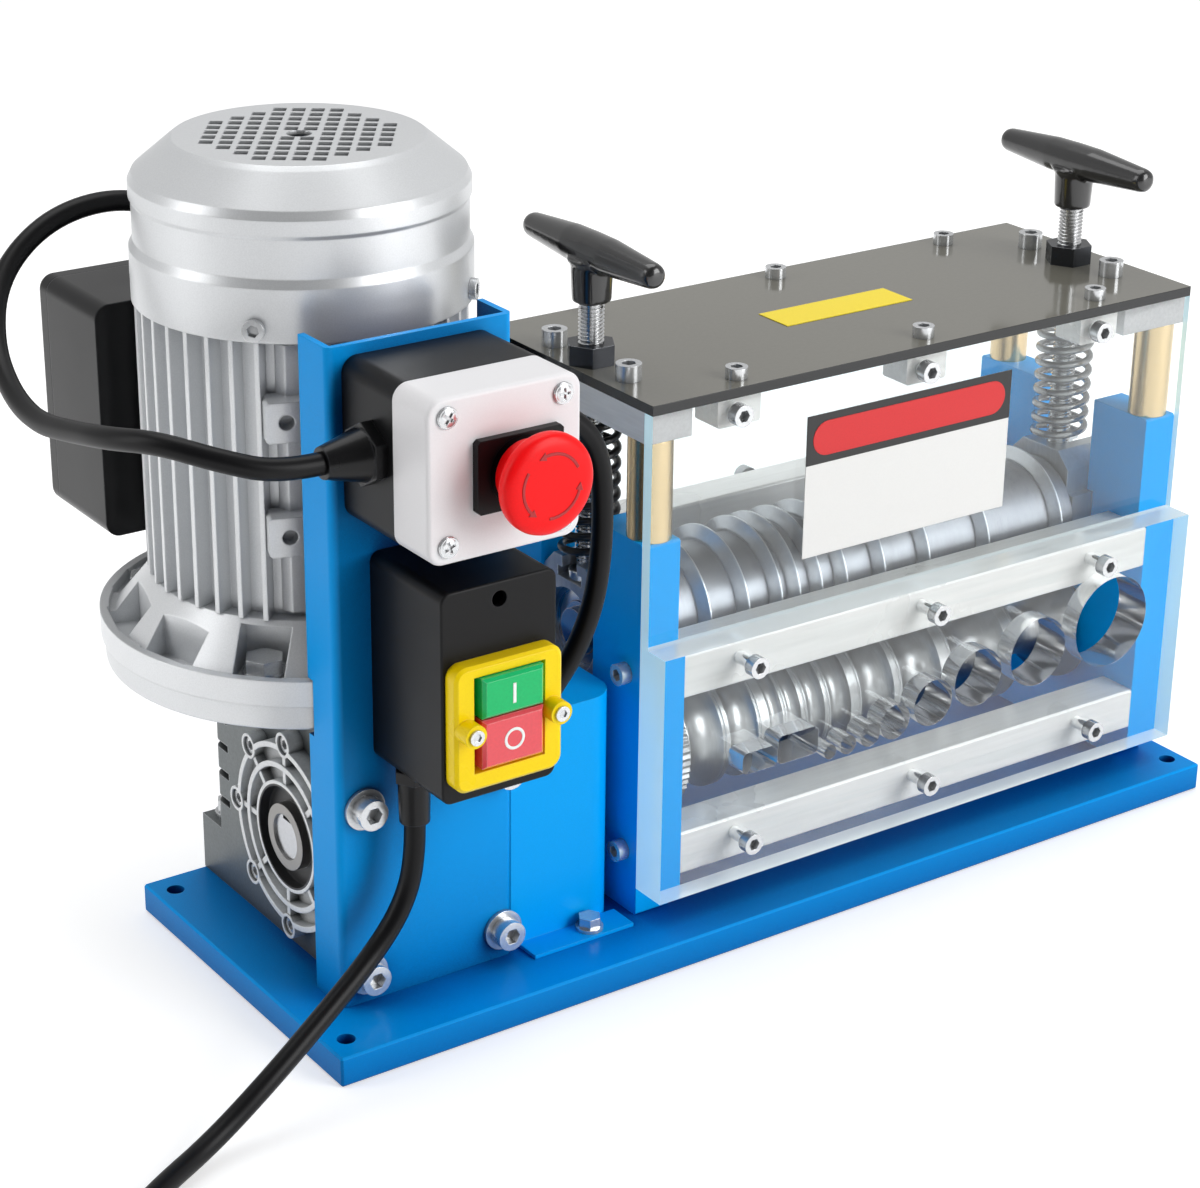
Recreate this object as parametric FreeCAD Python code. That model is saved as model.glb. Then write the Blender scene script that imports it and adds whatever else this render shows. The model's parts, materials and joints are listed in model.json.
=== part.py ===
"""Bench wire stripping machine: a motor and worm gearbox turn a grooved feed roller under a
screw-lowered roller of cutter blades, between two stands behind clear guards.

Millimetres. X runs from the motor to the stripping head, -Y is the feeding side, +Z is up.
The origin is the centre of the base plate's underside.
"""
import math
import os

import FreeCAD
import Part

Vec = FreeCAD.Vector
ALONG_X = Vec(1, 0, 0)
ALONG_Y = Vec(0, 1, 0)
ALONG_Z = Vec(0, 0, 1)

# Clearances
running_gap = 0.06
sliding_gap = 0.3
hole_gap = 0.1

# Base plate
base_length = 430.0
base_width = 156.0
base_thick = 12.0
base_hole_radius = 3.5
base_hole_end_margin = 8.5
base_hole_side_margin = 11.3
base_edge_chamfer = 0.8

# Stands
head_right_margin = 10.0
head_length = 272.0
stand_thick = 16.0
stand_depth = 102.0
stand_height = 156.0
slot_width = 36.0
slot_wall = 5.0

# Roller train
roller_offset_y = -2.0
gear_axis_height = 50.0
blade_radius = 30.0
blade_bore = 10.0
blade_thick = 5.0
blade_bevel = 5.0
blade_edge = 0.6
blade_entry = 1.0
ridge_radius = 24.5
groove_base_depth = 1.5
groove_depth_per_hole = 0.24
groove_land = 1.2
knurl_radius = 28.0
knurl_depth = 0.8
knurl_count = 60
knurl_wheels = 2
knurl_wheel_width = 8.5
spacer_radius = 24.0
roller_end_gap = 4.0
lower_journal = 10.0
lower_bearing_radius = 21.0
lower_bearing_width = 12.0
upper_journal = 8.5
upper_bearing_radius = 17.5
upper_bearing_width = 10.0
bearing_shield_step = 0.8
shaft_end_margin = 2.0

# Wire holes in the thick guard: place along the guard, height and width, flat slots first
slot_holes = [(-20.3, 73.6, 17.0, 9.0), (-1.6, 75.0, 20.0, 12.0)]
round_holes = [
    (14.8, 67.5, 6.0),
    (23.9, 68.2, 8.0),
    (35.1, 69.5, 10.0),
    (47.9, 71.9, 15.0),
    (67.6, 75.2, 20.0),
    (91.3, 80.3, 25.0),
    (123.7, 83.8, 30.0),
    (164.5, 87.5, 40.0),
]
slot_corner_radius = 2.5

# Bearing blocks and screws
block_below_axis = 23.5
block_above_axis = 29.5
block_chamfer = 7.0
block_lip = 4.0
block_outer_inset = 1.0
left_block_overhang = 5.0
right_block_overhang = 12.0
left_screw_inset = 10.0
right_screw_inset = 18.0
screw_radius = 5.0
screw_collar_radius = 8.0
screw_collar_height = 4.0
collar_floor = 3.5
handle_gap = 16.0
hub_radius = 8.5
hub_height = 14.0
hub_grip_depth = 10.0
handle_length = 85.0
handle_mid_radius = 7.2
handle_end_radius = 4.8
handle_tip_round = 1.5
left_handle_turn = 6.0
right_handle_turn = -1.0
nut_across_flats = 17.0
nut_height = 8.0
spring_outer_radius = 12.5
spring_wire = 3.0
spring_turns = 9.5

# Head
column_radius = 8.0
column_height = 40.0
column_from_middle = 43.0
column_spigot_radius = 4.0
column_spigot_length = 10.0
beam_height = 12.0
left_beam_width = 20.0
right_beam_width = 34.0
top_thick = 4.0
head_bolt_reach = 24.5
head_bolt_radius = 3.0
head_bolt_head_radius = 5.0
head_bolt_head_height = 6.5

# Tie bars
tie_depth = 18.0
tie_height = 18.0
upper_tie_height = 101.0
lower_tie_height = 25.6
rear_upper_tie_height = 119.0

# Guards
lower_guard_thick = 16.0
lower_guard_lift = 12.0
upper_guard_bottom = 115.0
upper_guard_thick = 5.0
rear_guard_bottom = 128.0
bracket_width = 20.0
bracket_depth = 14.0
bracket_height = 12.0
guard_screw_pitch = 91.0
guard_screw_inset = 4.5
guard_screw_shift = 6.5
guard_screw_rise = 2.4
small_screw_radius = 2.5
small_head_radius = 4.3
small_head_height = 4.5
label_thick = 0.3
warning_left = -64.0
warning_width = 103.0
warning_bottom = 21.0
warning_height = 58.0
yellow_label_length = 64.0
yellow_label_width = 18.5
yellow_label_shift = -5.0

# Gearbox
gearbox_from_head = 90.0
gearbox_half_width = 30.5
gearbox_front = 44.0
gearbox_back = 68.0
gearbox_height = 100.0
gearbox_foot_back = 12.0
gearbox_foot_height = 24.0
gearbox_edge_radius = 5.0
pad_radius = 5.5
pad_depth = 10.0
outer_cover_thick = 6.3
inner_cover_thick = 4.5
cover_floor = 2.0
cover_radius = 37.0
cover_lug_radius = 5.0
cover_lug_circle = 38.0
cover_lug_recess = 3.0
cover_lug_bore = 3.8
cover_lugs = 8
cover_rib_thick = 2.2
cover_rim = 2.2
cover_middle_radius = 29.5
cover_hub_radius = 22.0
cover_spigot = 4.0
wheel_chamber_radius = 35.0
worm_chamber_radius = 16.0
chamber_floor = 6.0
cooling_groove = 3.0
cooling_groove_pitch = 12.0
gear_module = 2.0
wheel_teeth = 30
worm_starts = 2
worm_pitch_radius = 10.0
wheel_face = 12.0
wheel_hub_radius = 13.0
mesh_backlash = 0.7
tooth_addendum = 1.5
tooth_dedendum = 2.2
worm_length = 44.0
flange_radius = 80.0
flange_thick = 10.0
flange_neck_height = 6.0
flange_neck_radius = 30.0
flange_bolt_circle = 65.0
flange_rim = 3.5
flange_inset = 1.5
shield_height = 15.0
shield_cone_radius = 74.0
shield_pocket_inner = 64.0
shield_pocket_width = 24.0
shield_pocket_floor = 3.0
shield_pockets = 12

# Motor
motor_body_radius = 54.0
motor_bore_radius = 50.0
motor_fin_radius = 61.3
motor_fin_thick = 1.9
motor_fin_count = 40
motor_body_height = 105.0
end_plate_thick = 8.0
pad_reach = 61.0
pad_half_width = 19.0
boss_size = 15.0
boss_reach = 65.0
boss_heights = (34.0, 77.0)
rotor_radius = 32.0
stator_gap = 0.5
core_height = 67.0
core_lift = 18.0
winding_height = 10.0
motor_shaft_radius = 8.0
motor_nose_radius = 6.0
motor_nose_length = 26.0
shaft_socket_rise = 4.0
shaft_rise = 34.0
fan_cover_height = 58.5
fan_cover_radius = 62.3
fan_cover_wall = 1.5
fan_cover_cap_radius = 45.6
fan_cover_step = 1.5
fan_cover_crease = 0.8
grille_hole = 4.9
grille_pitch = 7.0
grille_radius = 39.0
grille_eye_radius = 4.6
grille_turn = -35.0
fan_radius = 52.0
fan_blades = 8
fan_blade_height = 18.0
fan_blade_thick = 2.0
fan_hub_radius = 14.0

# Terminal box behind the motor
terminal_left = -55.0
terminal_width = 112.0
terminal_depth = 50.0
terminal_height = 93.0
terminal_above_flange = 14.0
terminal_wall = 2.5
terminal_lid_thick = 8.0
terminal_corner = 6.0
saddle_half_width = 22.0
saddle_half_height = 23.0
capacitor_radius = 17.5
capacitor_length = 70.0

# Control bracket and coupling guard
sheet_thick = 2.5
bracket_left = -40.0
bracket_sheet_width = 74.5
bracket_sheet_height = 255.0
bracket_return = 19.5
bracket_bend = 3.0
front_bolt_half_spacing = 29.5
front_bolt_heights = (12.0, 80.0)
front_bolt_head_radius = 5.8
front_bolt_head = 6.0
hex_bolt_radius = 4.0
hex_bolt_flats = 13.0
hex_bolt_head = 5.3
washer_radius = 8.0
washer_thick = 1.5
guard_sheet = 1.5
guard_height = 96.0
guard_bend = 12.0
guard_front_y = -45.6
guard_back_y = 42.0
guard_gap = 5.5
guard_start_gap = 0.8
foot_flange_front = -57.5
foot_bolt_y = -51.2
foot_washer_radius = 5.4
foot_bolt_flats = 8.0
foot_bolt_x = 22.0

# Emergency stop box
estop_left = -34.5
estop_width = 60.5
estop_bottom = 192.8
estop_height = 58.4
estop_screw_inset_x = 7.6
estop_screw_inset_z = 6.6
estop_base_depth = 33.0
estop_cover_depth = 21.5
estop_wall = 2.5
estop_corner = 6.0
bezel_width = 34.0
bezel_height = 26.0
bezel_thick = 3.0
bezel_recess = 2.4
bezel_clearance = 0.35
throat_radius = 11.3
mushroom_radius = 17.7
mushroom_thick = 16.0
mushroom_neck_radius = 11.8
mushroom_gap = 0.4
stem_radius = 7.0
button_shift_x = 4.25
button_shift_z = 0.0
estop_travel = 4.5
contact_width = 26.0
contact_height = 30.0
contact_depth = 24.0

# Switch box
switch_left = -25.0
switch_width = 47.0
switch_bottom = 99.0
switch_height = 79.5
switch_depth = 46.5
switch_wall = 2.5
switch_corner = 4.0
switch_pilot_hole = 3.0
switch_pilot_below = 6.4
frame_width = 44.0
frame_height = 47.3
frame_bottom_margin = 6.2
frame_thick = 6.5
frame_window_gap = 2.0
stop_margin = 8.8
frame_corner = 5.0
frame_boss_radius = 4.3
frame_boss_extra = 6.0
frame_boss_spacing = 35.0
button_width = 25.0
start_height = 15.0
stop_height = 18.5
button_gap = 0.5
button_proud = 3.0
button_travel = 3.0
button_length = 22.0
button_edge = 1.2

# Cords: corners of the centre lines, X from the motor's axis; ends lie on the glands' mouths
lead_diameter = 8.0
gland_flats = 20.0
gland_nut_length = 4.5
gland_mouth_radius = 5.6
gland_neck_radius = 7.0
grommet_flats = 13.0
grommet_neck_radius = 4.5
motor_lead_corners = [
    (6.0, 122.0, 258.5), (-11.0, 122.0, 271.5), (-36.0, 121.5, 279.0), (-64.0, 119.0, 274.5),
    (-88.0, 109.0, 259.5), (-101.0, 87.0, 242.0), (-107.0, 59.0, 232.0), (-110.0, 31.0, 230.5),
    (-110.5, 3.0, 236.0), (-110.0, -25.0, 242.0), (-102.5, -46.0, 245.5), (-88.5, -60.3, 241.0),
    (-70.5, -68.0, 235.3), (-54.0, -68.0, 235.3),
]
link_lead_corners = [
    (31.5, -66.0, 236.0), (37.5, -66.0, 236.0), (47.0, -66.0, 231.4), (55.4, -66.2, 223.0),
    (59.8, -66.5, 212.0), (60.7, -67.0, 197.0), (60.0, -67.5, 178.5), (57.0, -67.8, 160.0),
    (50.5, -67.0, 143.0), (41.0, -66.0, 129.5), (31.0, -66.0, 119.0),
]
mains_lead_corners = [
    (-17.0, -63.0, 90.0), (-17.0, -63.0, 73.0), (-24.0, -64.0, 55.5), (-40.0, -67.0, 41.0),
    (-63.0, -75.5, 31.0), (-90.0, -85.0, 19.5), (-117.0, -90.0, 5.2), (-145.0, -104.0, 4.5),
    (-172.0, -123.0, 4.5), (-195.0, -138.2, 4.5),
]
coil_turns = 4
coil_inner_radius = 42.0
coil_step = 8.8
coil_tail = 34.0
plug_relief = 20.0
plug_length = 52.0
plug_radius = 12.5
plug_pin_radius = 2.4
plug_pin_length = 19.0
plug_pin_half_spacing = 9.5


# Places worked out from the sizes
base_top = base_thick
stand_top = base_top + stand_height
stand_half_depth = stand_depth / 2
right_outer_x = base_length / 2 - head_right_margin
right_inner_x = right_outer_x - stand_thick
left_outer_x = right_outer_x - head_length
left_inner_x = left_outer_x + stand_thick
head_middle_x = (left_outer_x + right_outer_x) / 2
lower_axis_z = base_top + gear_axis_height
upper_axis_z = lower_axis_z + ridge_radius + blade_radius - blade_entry
slot_floor_z = lower_axis_z + lower_bearing_radius + slot_wall
roller_y = roller_offset_y
beam_bottom_z = stand_top + column_height
beam_top_z = beam_bottom_z + beam_height
top_z = beam_top_z + top_thick
block_bottom_z = upper_axis_z - block_below_axis
block_top_z = upper_axis_z + block_above_axis
left_screw_x = left_outer_x + left_screw_inset
right_screw_x = right_outer_x - right_screw_inset
collar_z = upper_axis_z + upper_bearing_radius + collar_floor
drive_x = left_outer_x - gearbox_from_head
drive_front_y = roller_y - gearbox_front
worm_y = roller_y + gear_module * wheel_teeth / 2 + worm_pitch_radius
gearbox_top_z = base_top + gearbox_height
worm_bottom_z = base_top + chamber_floor
flange_bottom_z = gearbox_top_z + flange_neck_height
flange_top_z = flange_bottom_z + flange_thick
shield_rim_z = flange_top_z + flange_thick
housing_bottom_z = shield_rim_z + shield_height
housing_top_z = housing_bottom_z + motor_body_height
cover_top_z = housing_top_z + fan_cover_height
bracket_front_y = drive_front_y - sheet_thick
motor_lead_route = [(drive_x + x, y, z) for x, y, z in motor_lead_corners]
link_lead_route = [(drive_x + x, y, z) for x, y, z in link_lead_corners]
mains_lead_route = [(drive_x + x, y, z) for x, y, z in mains_lead_corners]
guard_front_face_y = -stand_half_depth - lower_guard_thick
stations = [hole[0] for hole in slot_holes] + [hole[0] for hole in round_holes]
station_widths = [hole[3] for hole in slot_holes] + [hole[2] for hole in round_holes]
roller_left_x = left_inner_x + roller_end_gap
roller_right_x = right_inner_x - roller_end_gap


def box(x_range, y_range, z_range):
    """A block between two values on each axis."""
    size = [high - low for low, high in (x_range, y_range, z_range)]
    return Part.makeBox(*size, Vec(x_range[0], y_range[0], z_range[0]))


def rod(start, axis, length, radius):
    """A cylinder from a start point along an axis."""
    return Part.makeCylinder(radius, length, Vec(*start), axis)


def ring(start, axis, length, outer, inner):
    """A plain tube from a start point along an axis."""
    return rod(start, axis, length, outer).cut(rod(start, axis, length, inner))


def prism(start, axis, length, across_flats, sides=6):
    """A bar with flat sides, such as a nut or a bolt head."""
    radius = across_flats / 2 / math.cos(math.pi / sides)
    corners = [Vec(radius * math.cos(2 * math.pi * i / sides), radius * math.sin(2 * math.pi * i / sides), 0)
               for i in range(sides + 1)]
    bar = Part.Face(Part.makePolygon(corners)).extrude(Vec(0, 0, length))
    bar.Placement = FreeCAD.Placement(Vec(*start), FreeCAD.Rotation(ALONG_Z, axis))
    return bar


def turned(points, start, axis):
    """A solid of revolution: points are (radius, distance along the axis), on the axis or as a ring."""
    wire = Part.makePolygon([Vec(radius, 0, along) for radius, along in points + points[:1]])
    solid = Part.Face(wire).revolve(Vec(0, 0, 0), ALONG_Z, 360)
    solid.Placement = FreeCAD.Placement(Vec(*start), FreeCAD.Rotation(ALONG_Z, axis))
    return solid


def fused(shapes):
    """One solid from several that touch or overlap."""
    return shapes[0].multiFuse(shapes[1:]).removeSplitter()


def group(shapes):
    """Separate solids kept in one node."""
    return Part.makeCompound(shapes)


def edges_along(shape, axis):
    """The straight edges of a shape that run along an axis."""
    found = []
    for edge in shape.Edges:
        if isinstance(edge.Curve, Part.Line) and abs(abs(edge.Curve.Direction.dot(axis)) - 1) < 1e-6:
            found.append(edge)
    return found


def rounded_box(x_range, y_range, z_range, radius, axis):
    """A block whose edges along one axis are rounded."""
    block = box(x_range, y_range, z_range)
    return block.makeFillet(radius, edges_along(block, axis))


def turn_about(shape, centre, axis, degrees):
    """A copy of a shape turned about an axis through a point."""
    copy = shape.copy()
    copy.rotate(Vec(*centre), axis, degrees)
    return copy


class Screw:
    """A fastener: its head stands on the seat and points along the axis, its shank runs the other way."""

    def __init__(self, seat, axis, length, radius=small_screw_radius, head_radius=small_head_radius,
                 head_height=small_head_height):
        self.seat = Vec(*seat)
        self.axis = axis
        self.length = length
        self.radius = radius
        self.head_radius = head_radius
        self.head_height = head_height

    def shank(self, extra):
        """The shank with its radius grown by some clearance."""
        return rod(self.seat, -self.axis, self.length + extra, self.radius + extra)

    def socket_head(self, washer=0.0):
        """The whole screw with a round head and a hexagon socket, on a washer where it has one."""
        lift = washer_thick if washer else 0.0
        head = rod(self.seat, self.axis, self.head_height + lift, self.head_radius)
        depth = self.head_height * 0.6
        start = self.seat + self.axis * (self.head_height + lift - depth)
        shapes = [head, self.shank(0)] + ([rod(self.seat, self.axis, lift, washer)] if washer else [])
        return fused(shapes).cut(prism(start, self.axis, depth, self.head_radius))

    def hex_head(self, across_flats, washer):
        """The whole bolt with a hexagon head on its washer."""
        plate = rod(self.seat, self.axis, washer_thick, washer)
        head = prism(self.seat + self.axis * washer_thick, self.axis, self.head_height, across_flats)
        return fused([plate, head, self.shank(0)])


def without_screws(shape, screws):
    """A shape with clearance holes for its screws."""
    return shape.cut([screw.shank(hole_gap) for screw in screws])


def screw_xs(shift=0.0):
    """Places along the head of its three rows of guard screws."""
    return [head_middle_x + shift + step * guard_screw_pitch for step in (-1, 0, 1)]


# Fasteners, listed once so that each part's holes follow them
top_screw_y = stand_half_depth - guard_screw_inset
top_screws = [Screw((x, side * top_screw_y, top_z), ALONG_Z, top_thick + bracket_height - 2)
              for side in (-1, 1) for x in screw_xs()]
bracket_screws = [Screw((x, side * (stand_half_depth + upper_guard_thick), beam_top_z - bracket_height / 2),
                        Vec(0, side, 0), upper_guard_thick + bracket_depth - 2)
                  for side in (-1, 1) for x in screw_xs(-guard_screw_shift)]
front_tie_bottoms = (base_top + lower_tie_height - tie_height / 2,
                     base_top + upper_tie_height - tie_height / 2)
rear_tie_bottoms = (front_tie_bottoms[0], base_top + rear_upper_tie_height - tie_height / 2)
lower_guard_screws = [Screw((x, guard_front_face_y, bottom + tie_height / 2 + guard_screw_rise), -ALONG_Y,
                            lower_guard_thick + tie_depth - 4)
                      for bottom in front_tie_bottoms for x in screw_xs(-guard_screw_shift / 2)]
rear_guard_screw_z = rear_tie_bottoms[1] + tie_height - guard_screw_inset
rear_guard_screws = [Screw((x, stand_half_depth + upper_guard_thick, rear_guard_screw_z), ALONG_Y,
                           upper_guard_thick + tie_depth - 4) for x in screw_xs(-guard_screw_shift)]


def tie_screws():
    """Screws through both stands into the ends of the tie bars."""
    found = []
    for side, bottoms in ((-1, front_tie_bottoms), (1, rear_tie_bottoms)):
        for bottom in bottoms:
            place_y = side * (stand_half_depth - tie_depth / 2)
            place_z = bottom + tie_height / 2
            found.append(Screw((left_outer_x, place_y, place_z), -ALONG_X, stand_thick + 14))
            found.append(Screw((right_outer_x, place_y, place_z), ALONG_X, stand_thick + 14))
    return found


head_bolts = [Screw((x, roller_y + side * head_bolt_reach, top_z), ALONG_Z, top_thick + beam_height - 2,
                    head_bolt_radius, head_bolt_head_radius, head_bolt_head_height)
              for x in (left_screw_x, right_screw_x + 1) for side in (-1, 1)]
front_bolts = [Screw((drive_x + side * front_bolt_half_spacing, bracket_front_y, base_top + height), -ALONG_Y,
                     sheet_thick + 12, hex_bolt_radius, front_bolt_head_radius, front_bolt_head)
               for side in (-1, 1) for height in front_bolt_heights]


def around(count, radius, first=0.0):
    """Points on a circle: (x, y) pairs from a first angle in degrees."""
    angles = [math.radians(first + 360.0 * i / count) for i in range(count)]
    return [(radius * math.cos(a), radius * math.sin(a)) for a in angles]


flange_bolts = [Screw((drive_x + dx, worm_y + dy, shield_rim_z - 4), ALONG_Z, 4 + flange_thick + 4,
                      hex_bolt_radius,
                      0, hex_bolt_head)
                for dx, dy in around(4, flange_bolt_circle, 45)]
foot_bolt = Screw((left_outer_x - foot_bolt_x, foot_bolt_y, base_top + guard_sheet), ALONG_Z,
                  guard_sheet + base_thick - 2, 3.0, 0, 4.0)
gear_foot_bolts = [Screw((drive_x + side * 22, roller_y + gearbox_back + gearbox_foot_back / 2,
                          base_top + gearbox_foot_height), ALONG_Z, gearbox_foot_height + base_thick - 3,
                          3.5, 0, 5.0)
                   for side in (-1, 1)]
cover_seats = {-1: outer_cover_thick - cover_lug_recess, 1: inner_cover_thick - cover_lug_recess}
cover_screws = [Screw((drive_x + side * (gearbox_half_width + seat), roller_y + dy, lower_axis_z + dz),
                      Vec(side, 0, 0), seat + 8, 2.0, 3.4, 2.0)
                for side, seat in cover_seats.items() for dy, dz in around(cover_lugs, cover_lug_circle)]
fan_cover_screws = [Screw((drive_x + dx, worm_y + dy, housing_top_z + 5), Vec(dx, dy, 0).normalize(), 8,
                          2.0, 4.0, 2.5)
                    for dx, dy in around(4, fan_cover_radius, 45)]
estop_x = (drive_x + estop_left, drive_x + estop_left + estop_width)
estop_z = (base_top + estop_bottom, base_top + estop_bottom + estop_height)
estop_split_y = bracket_front_y - estop_base_depth
estop_face_y = estop_split_y - estop_cover_depth
estop_centre_x = sum(estop_x) / 2 + button_shift_x
estop_centre_z = sum(estop_z) / 2 + button_shift_z
estop_screws = [Screw((x, estop_face_y, z), -ALONG_Y, estop_cover_depth + 10, 2.0, 3.6, 1.2)
                for x in (estop_x[0] + estop_screw_inset_x, estop_x[1] - estop_screw_inset_x)
                for z in (estop_z[0] + estop_screw_inset_z, estop_z[1] - estop_screw_inset_z)]
switch_x = (drive_x + switch_left, drive_x + switch_left + switch_width)
switch_z = (base_top + switch_bottom, base_top + switch_bottom + switch_height)
switch_face_y = bracket_front_y - switch_depth
frame_centre_x = sum(switch_x) / 2
frame_z = (switch_z[0] + frame_bottom_margin, switch_z[0] + frame_bottom_margin + frame_height)
frame_face_y = switch_face_y - frame_thick
frame_screws = [Screw((frame_centre_x + side * frame_boss_spacing / 2, frame_face_y - frame_boss_extra,
                       sum(frame_z) / 2 + 0.5),
                      -ALONG_Y, frame_thick + frame_boss_extra + 8, 1.5, 2.8, 1.0) for side in (-1, 1)]
terminal_x = (drive_x + terminal_left, drive_x + terminal_left + terminal_width)
terminal_y = (worm_y + motor_fin_radius, worm_y + motor_fin_radius + terminal_depth)
terminal_z = (shield_rim_z + terminal_above_flange, shield_rim_z + terminal_above_flange + terminal_height)
terminal_split_y = terminal_y[1] - terminal_lid_thick
lid_screws = [Screw((x, terminal_y[1], z), ALONG_Y, terminal_lid_thick + 10, 2.0, 3.6, 1.2)
              for x in (terminal_x[0] + 9, terminal_x[1] - 9) for z in (terminal_z[0] + 9, terminal_z[1] - 9)]


def base_plate():
    """Flat plate with a mounting hole near each corner."""
    half_length = base_length / 2
    half_width = base_width / 2
    plate = box((-half_length, half_length), (-half_width, half_width), (0, base_thick))
    plate = plate.makeChamfer(base_edge_chamfer, plate.Edges)
    holes = []
    for x in (-half_length + base_hole_end_margin, half_length - base_hole_end_margin):
        for y in (-half_width + base_hole_side_margin, half_width - base_hole_side_margin):
            holes.append(rod((x, y, 0), ALONG_Z, base_thick, base_hole_radius))
    return without_screws(plate.cut(holes), gear_foot_bolts + [foot_bolt])


def stand(x_range):
    """Upright plate: an open slot for the bearing block over a bore for the lower bearing."""
    plate = box(x_range, (-stand_half_depth, stand_half_depth), (base_top, stand_top))
    plate = plate.makeChamfer(base_edge_chamfer, edges_along(plate, ALONG_X))
    slot = box(x_range, (roller_y - slot_width / 2, roller_y + slot_width / 2), (slot_floor_z, stand_top))
    bore = rod((x_range[0], roller_y, lower_axis_z), ALONG_X, stand_thick, lower_bearing_radius)
    spigots = [column_spigot(x_range[0] + stand_thick / 2, side, stand_top - column_spigot_length, hole_gap)
               for side in (-1, 1)]
    return without_screws(plate.cut([slot, bore] + spigots), tie_screws())


def column_spigot(x, side, bottom, gap):
    """The thin end of a column, or the hole that takes it."""
    return rod((x, side * column_from_middle, bottom), ALONG_Z, column_spigot_length,
               column_spigot_radius + gap)


def tie_bars():
    """Square bars between the stands, two in front and two behind."""
    bars = []
    for side, bottoms in ((-1, front_tie_bottoms), (1, rear_tie_bottoms)):
        outer = side * stand_half_depth
        inner = side * (stand_half_depth - tie_depth)
        for bottom in bottoms:
            bar = box((left_inner_x, right_inner_x), sorted((outer, inner)), (bottom, bottom + tie_height))
            bar = bar.makeChamfer(base_edge_chamfer, edges_along(bar, ALONG_X))
            bars.append(without_screws(bar, tie_screws() + lower_guard_screws + rear_guard_screws))
    return group(bars)


def column_places():
    """The x and side of each head column."""
    return [(x, side) for x in (left_outer_x + stand_thick / 2, right_outer_x - stand_thick / 2)
            for side in (-1, 1)]


def head_columns():
    """Round sleeves that carry the head beams on the stands."""
    columns = []
    for x, side in column_places():
        sleeve = rod((x, side * column_from_middle, stand_top), ALONG_Z, column_height, column_radius)
        foot = column_spigot(x, side, stand_top - column_spigot_length, 0)
        neck = column_spigot(x, side, beam_bottom_z, 0)
        columns.append(fused([foot, sleeve, neck]))
    return group(columns)


def head_beams():
    """The two cross beams that the adjusting screws are threaded through."""
    beams = []
    for x_range, screw_x in (((left_outer_x, left_outer_x + left_beam_width), left_screw_x),
                             ((right_outer_x - right_beam_width, right_outer_x), right_screw_x)):
        beam = box(x_range, (-stand_half_depth, stand_half_depth), (beam_bottom_z, beam_top_z))
        bores = [rod((screw_x, roller_y, beam_bottom_z), ALONG_Z, beam_height, screw_radius + running_gap)]
        for x, side in column_places():
            bores.append(column_spigot(x, side, beam_bottom_z, hole_gap))
        beams.append(without_screws(beam.cut(bores), head_bolts))
    return group(beams)


def top_plate():
    """Glossy cover plate over the head."""
    half_depth = stand_half_depth + upper_guard_thick
    plate = box((left_outer_x, right_outer_x), (-half_depth, half_depth), (beam_top_z, top_z))
    bores = [rod((x, roller_y, beam_top_z), ALONG_Z, top_thick, screw_radius + sliding_gap)
             for x in (left_screw_x, right_screw_x)]
    return without_screws(plate.cut(bores), head_bolts + top_screws)


def guard_brackets():
    """Small blocks under the top plate's edges that hold the upper guards."""
    blocks = []
    for side in (-1, 1):
        y_range = sorted((side * stand_half_depth, side * (stand_half_depth - bracket_depth)))
        for x in screw_xs():
            block = box((x - bracket_width / 2 - guard_screw_shift / 2,
                         x + bracket_width / 2 - guard_screw_shift / 2),
                        y_range, (beam_top_z - bracket_height, beam_top_z))
            block = block.makeChamfer(base_edge_chamfer, edges_along(block, ALONG_Y))
            blocks.append(without_screws(block, top_screws + bracket_screws))
    return group(blocks)


def clear_plate(y_range, z_range, screws):
    """A guard plate as long as the head."""
    return without_screws(box((left_outer_x, right_outer_x), y_range, z_range), screws)


def front_upper_guard():
    """Thin clear guard in front of the cutter roller."""
    return clear_plate((-stand_half_depth - upper_guard_thick, -stand_half_depth),
                       (base_top + upper_guard_bottom, beam_top_z), bracket_screws)


def rear_guard():
    """Thin clear guard behind the cutter roller, with the wire outlet open below it."""
    return clear_plate((stand_half_depth, stand_half_depth + upper_guard_thick),
                       (base_top + rear_guard_bottom - tie_height, beam_top_z),
                       bracket_screws + rear_guard_screws)


def front_lower_guard():
    """Thick clear guard, drilled with the feeding holes."""
    y_range = (guard_front_face_y, -stand_half_depth)
    plate = clear_plate(y_range, (base_top + lower_guard_lift, base_top + upper_guard_bottom),
                        lower_guard_screws)
    cuts = [rod((x, y_range[0], z), ALONG_Y, lower_guard_thick, diameter / 2)
            for x, z, diameter in round_holes]
    for x, z, width, height in slot_holes:
        cuts.append(rounded_box((x - width / 2, x + width / 2), y_range, (z - height / 2, z + height / 2),
                                slot_corner_radius, ALONG_Y))
    return plate.cut(cuts)


def blank_labels():
    """The bare card on the upper guard and the bare strip on the top plate."""
    face_y = -stand_half_depth - upper_guard_thick
    left = head_middle_x + warning_left
    bottom = base_top + upper_guard_bottom + warning_bottom
    card = box((left, left + warning_width), (face_y - label_thick, face_y),
               (bottom, bottom + warning_height))
    strip_x = head_middle_x + yellow_label_shift
    strip = box((strip_x - yellow_label_length / 2, strip_x + yellow_label_length / 2),
                (-yellow_label_width / 2, yellow_label_width / 2), (top_z, top_z + label_thick))
    return group([card, strip])


def bearing(start, axis, outer, journal, width):
    """Ball bearing on a journal: outer race, shields and inner race, side by side."""
    bore = journal + running_gap
    step = (outer - bore) / 4
    races = [ring(start, axis, width, outer, outer - step), ring(start, axis, width, bore + step, bore)]
    shield_start = Vec(*start) + axis * bearing_shield_step
    shield = ring(shield_start, axis, width - 2 * bearing_shield_step, outer - step, bore + step)
    return fused(races + [shield])


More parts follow.
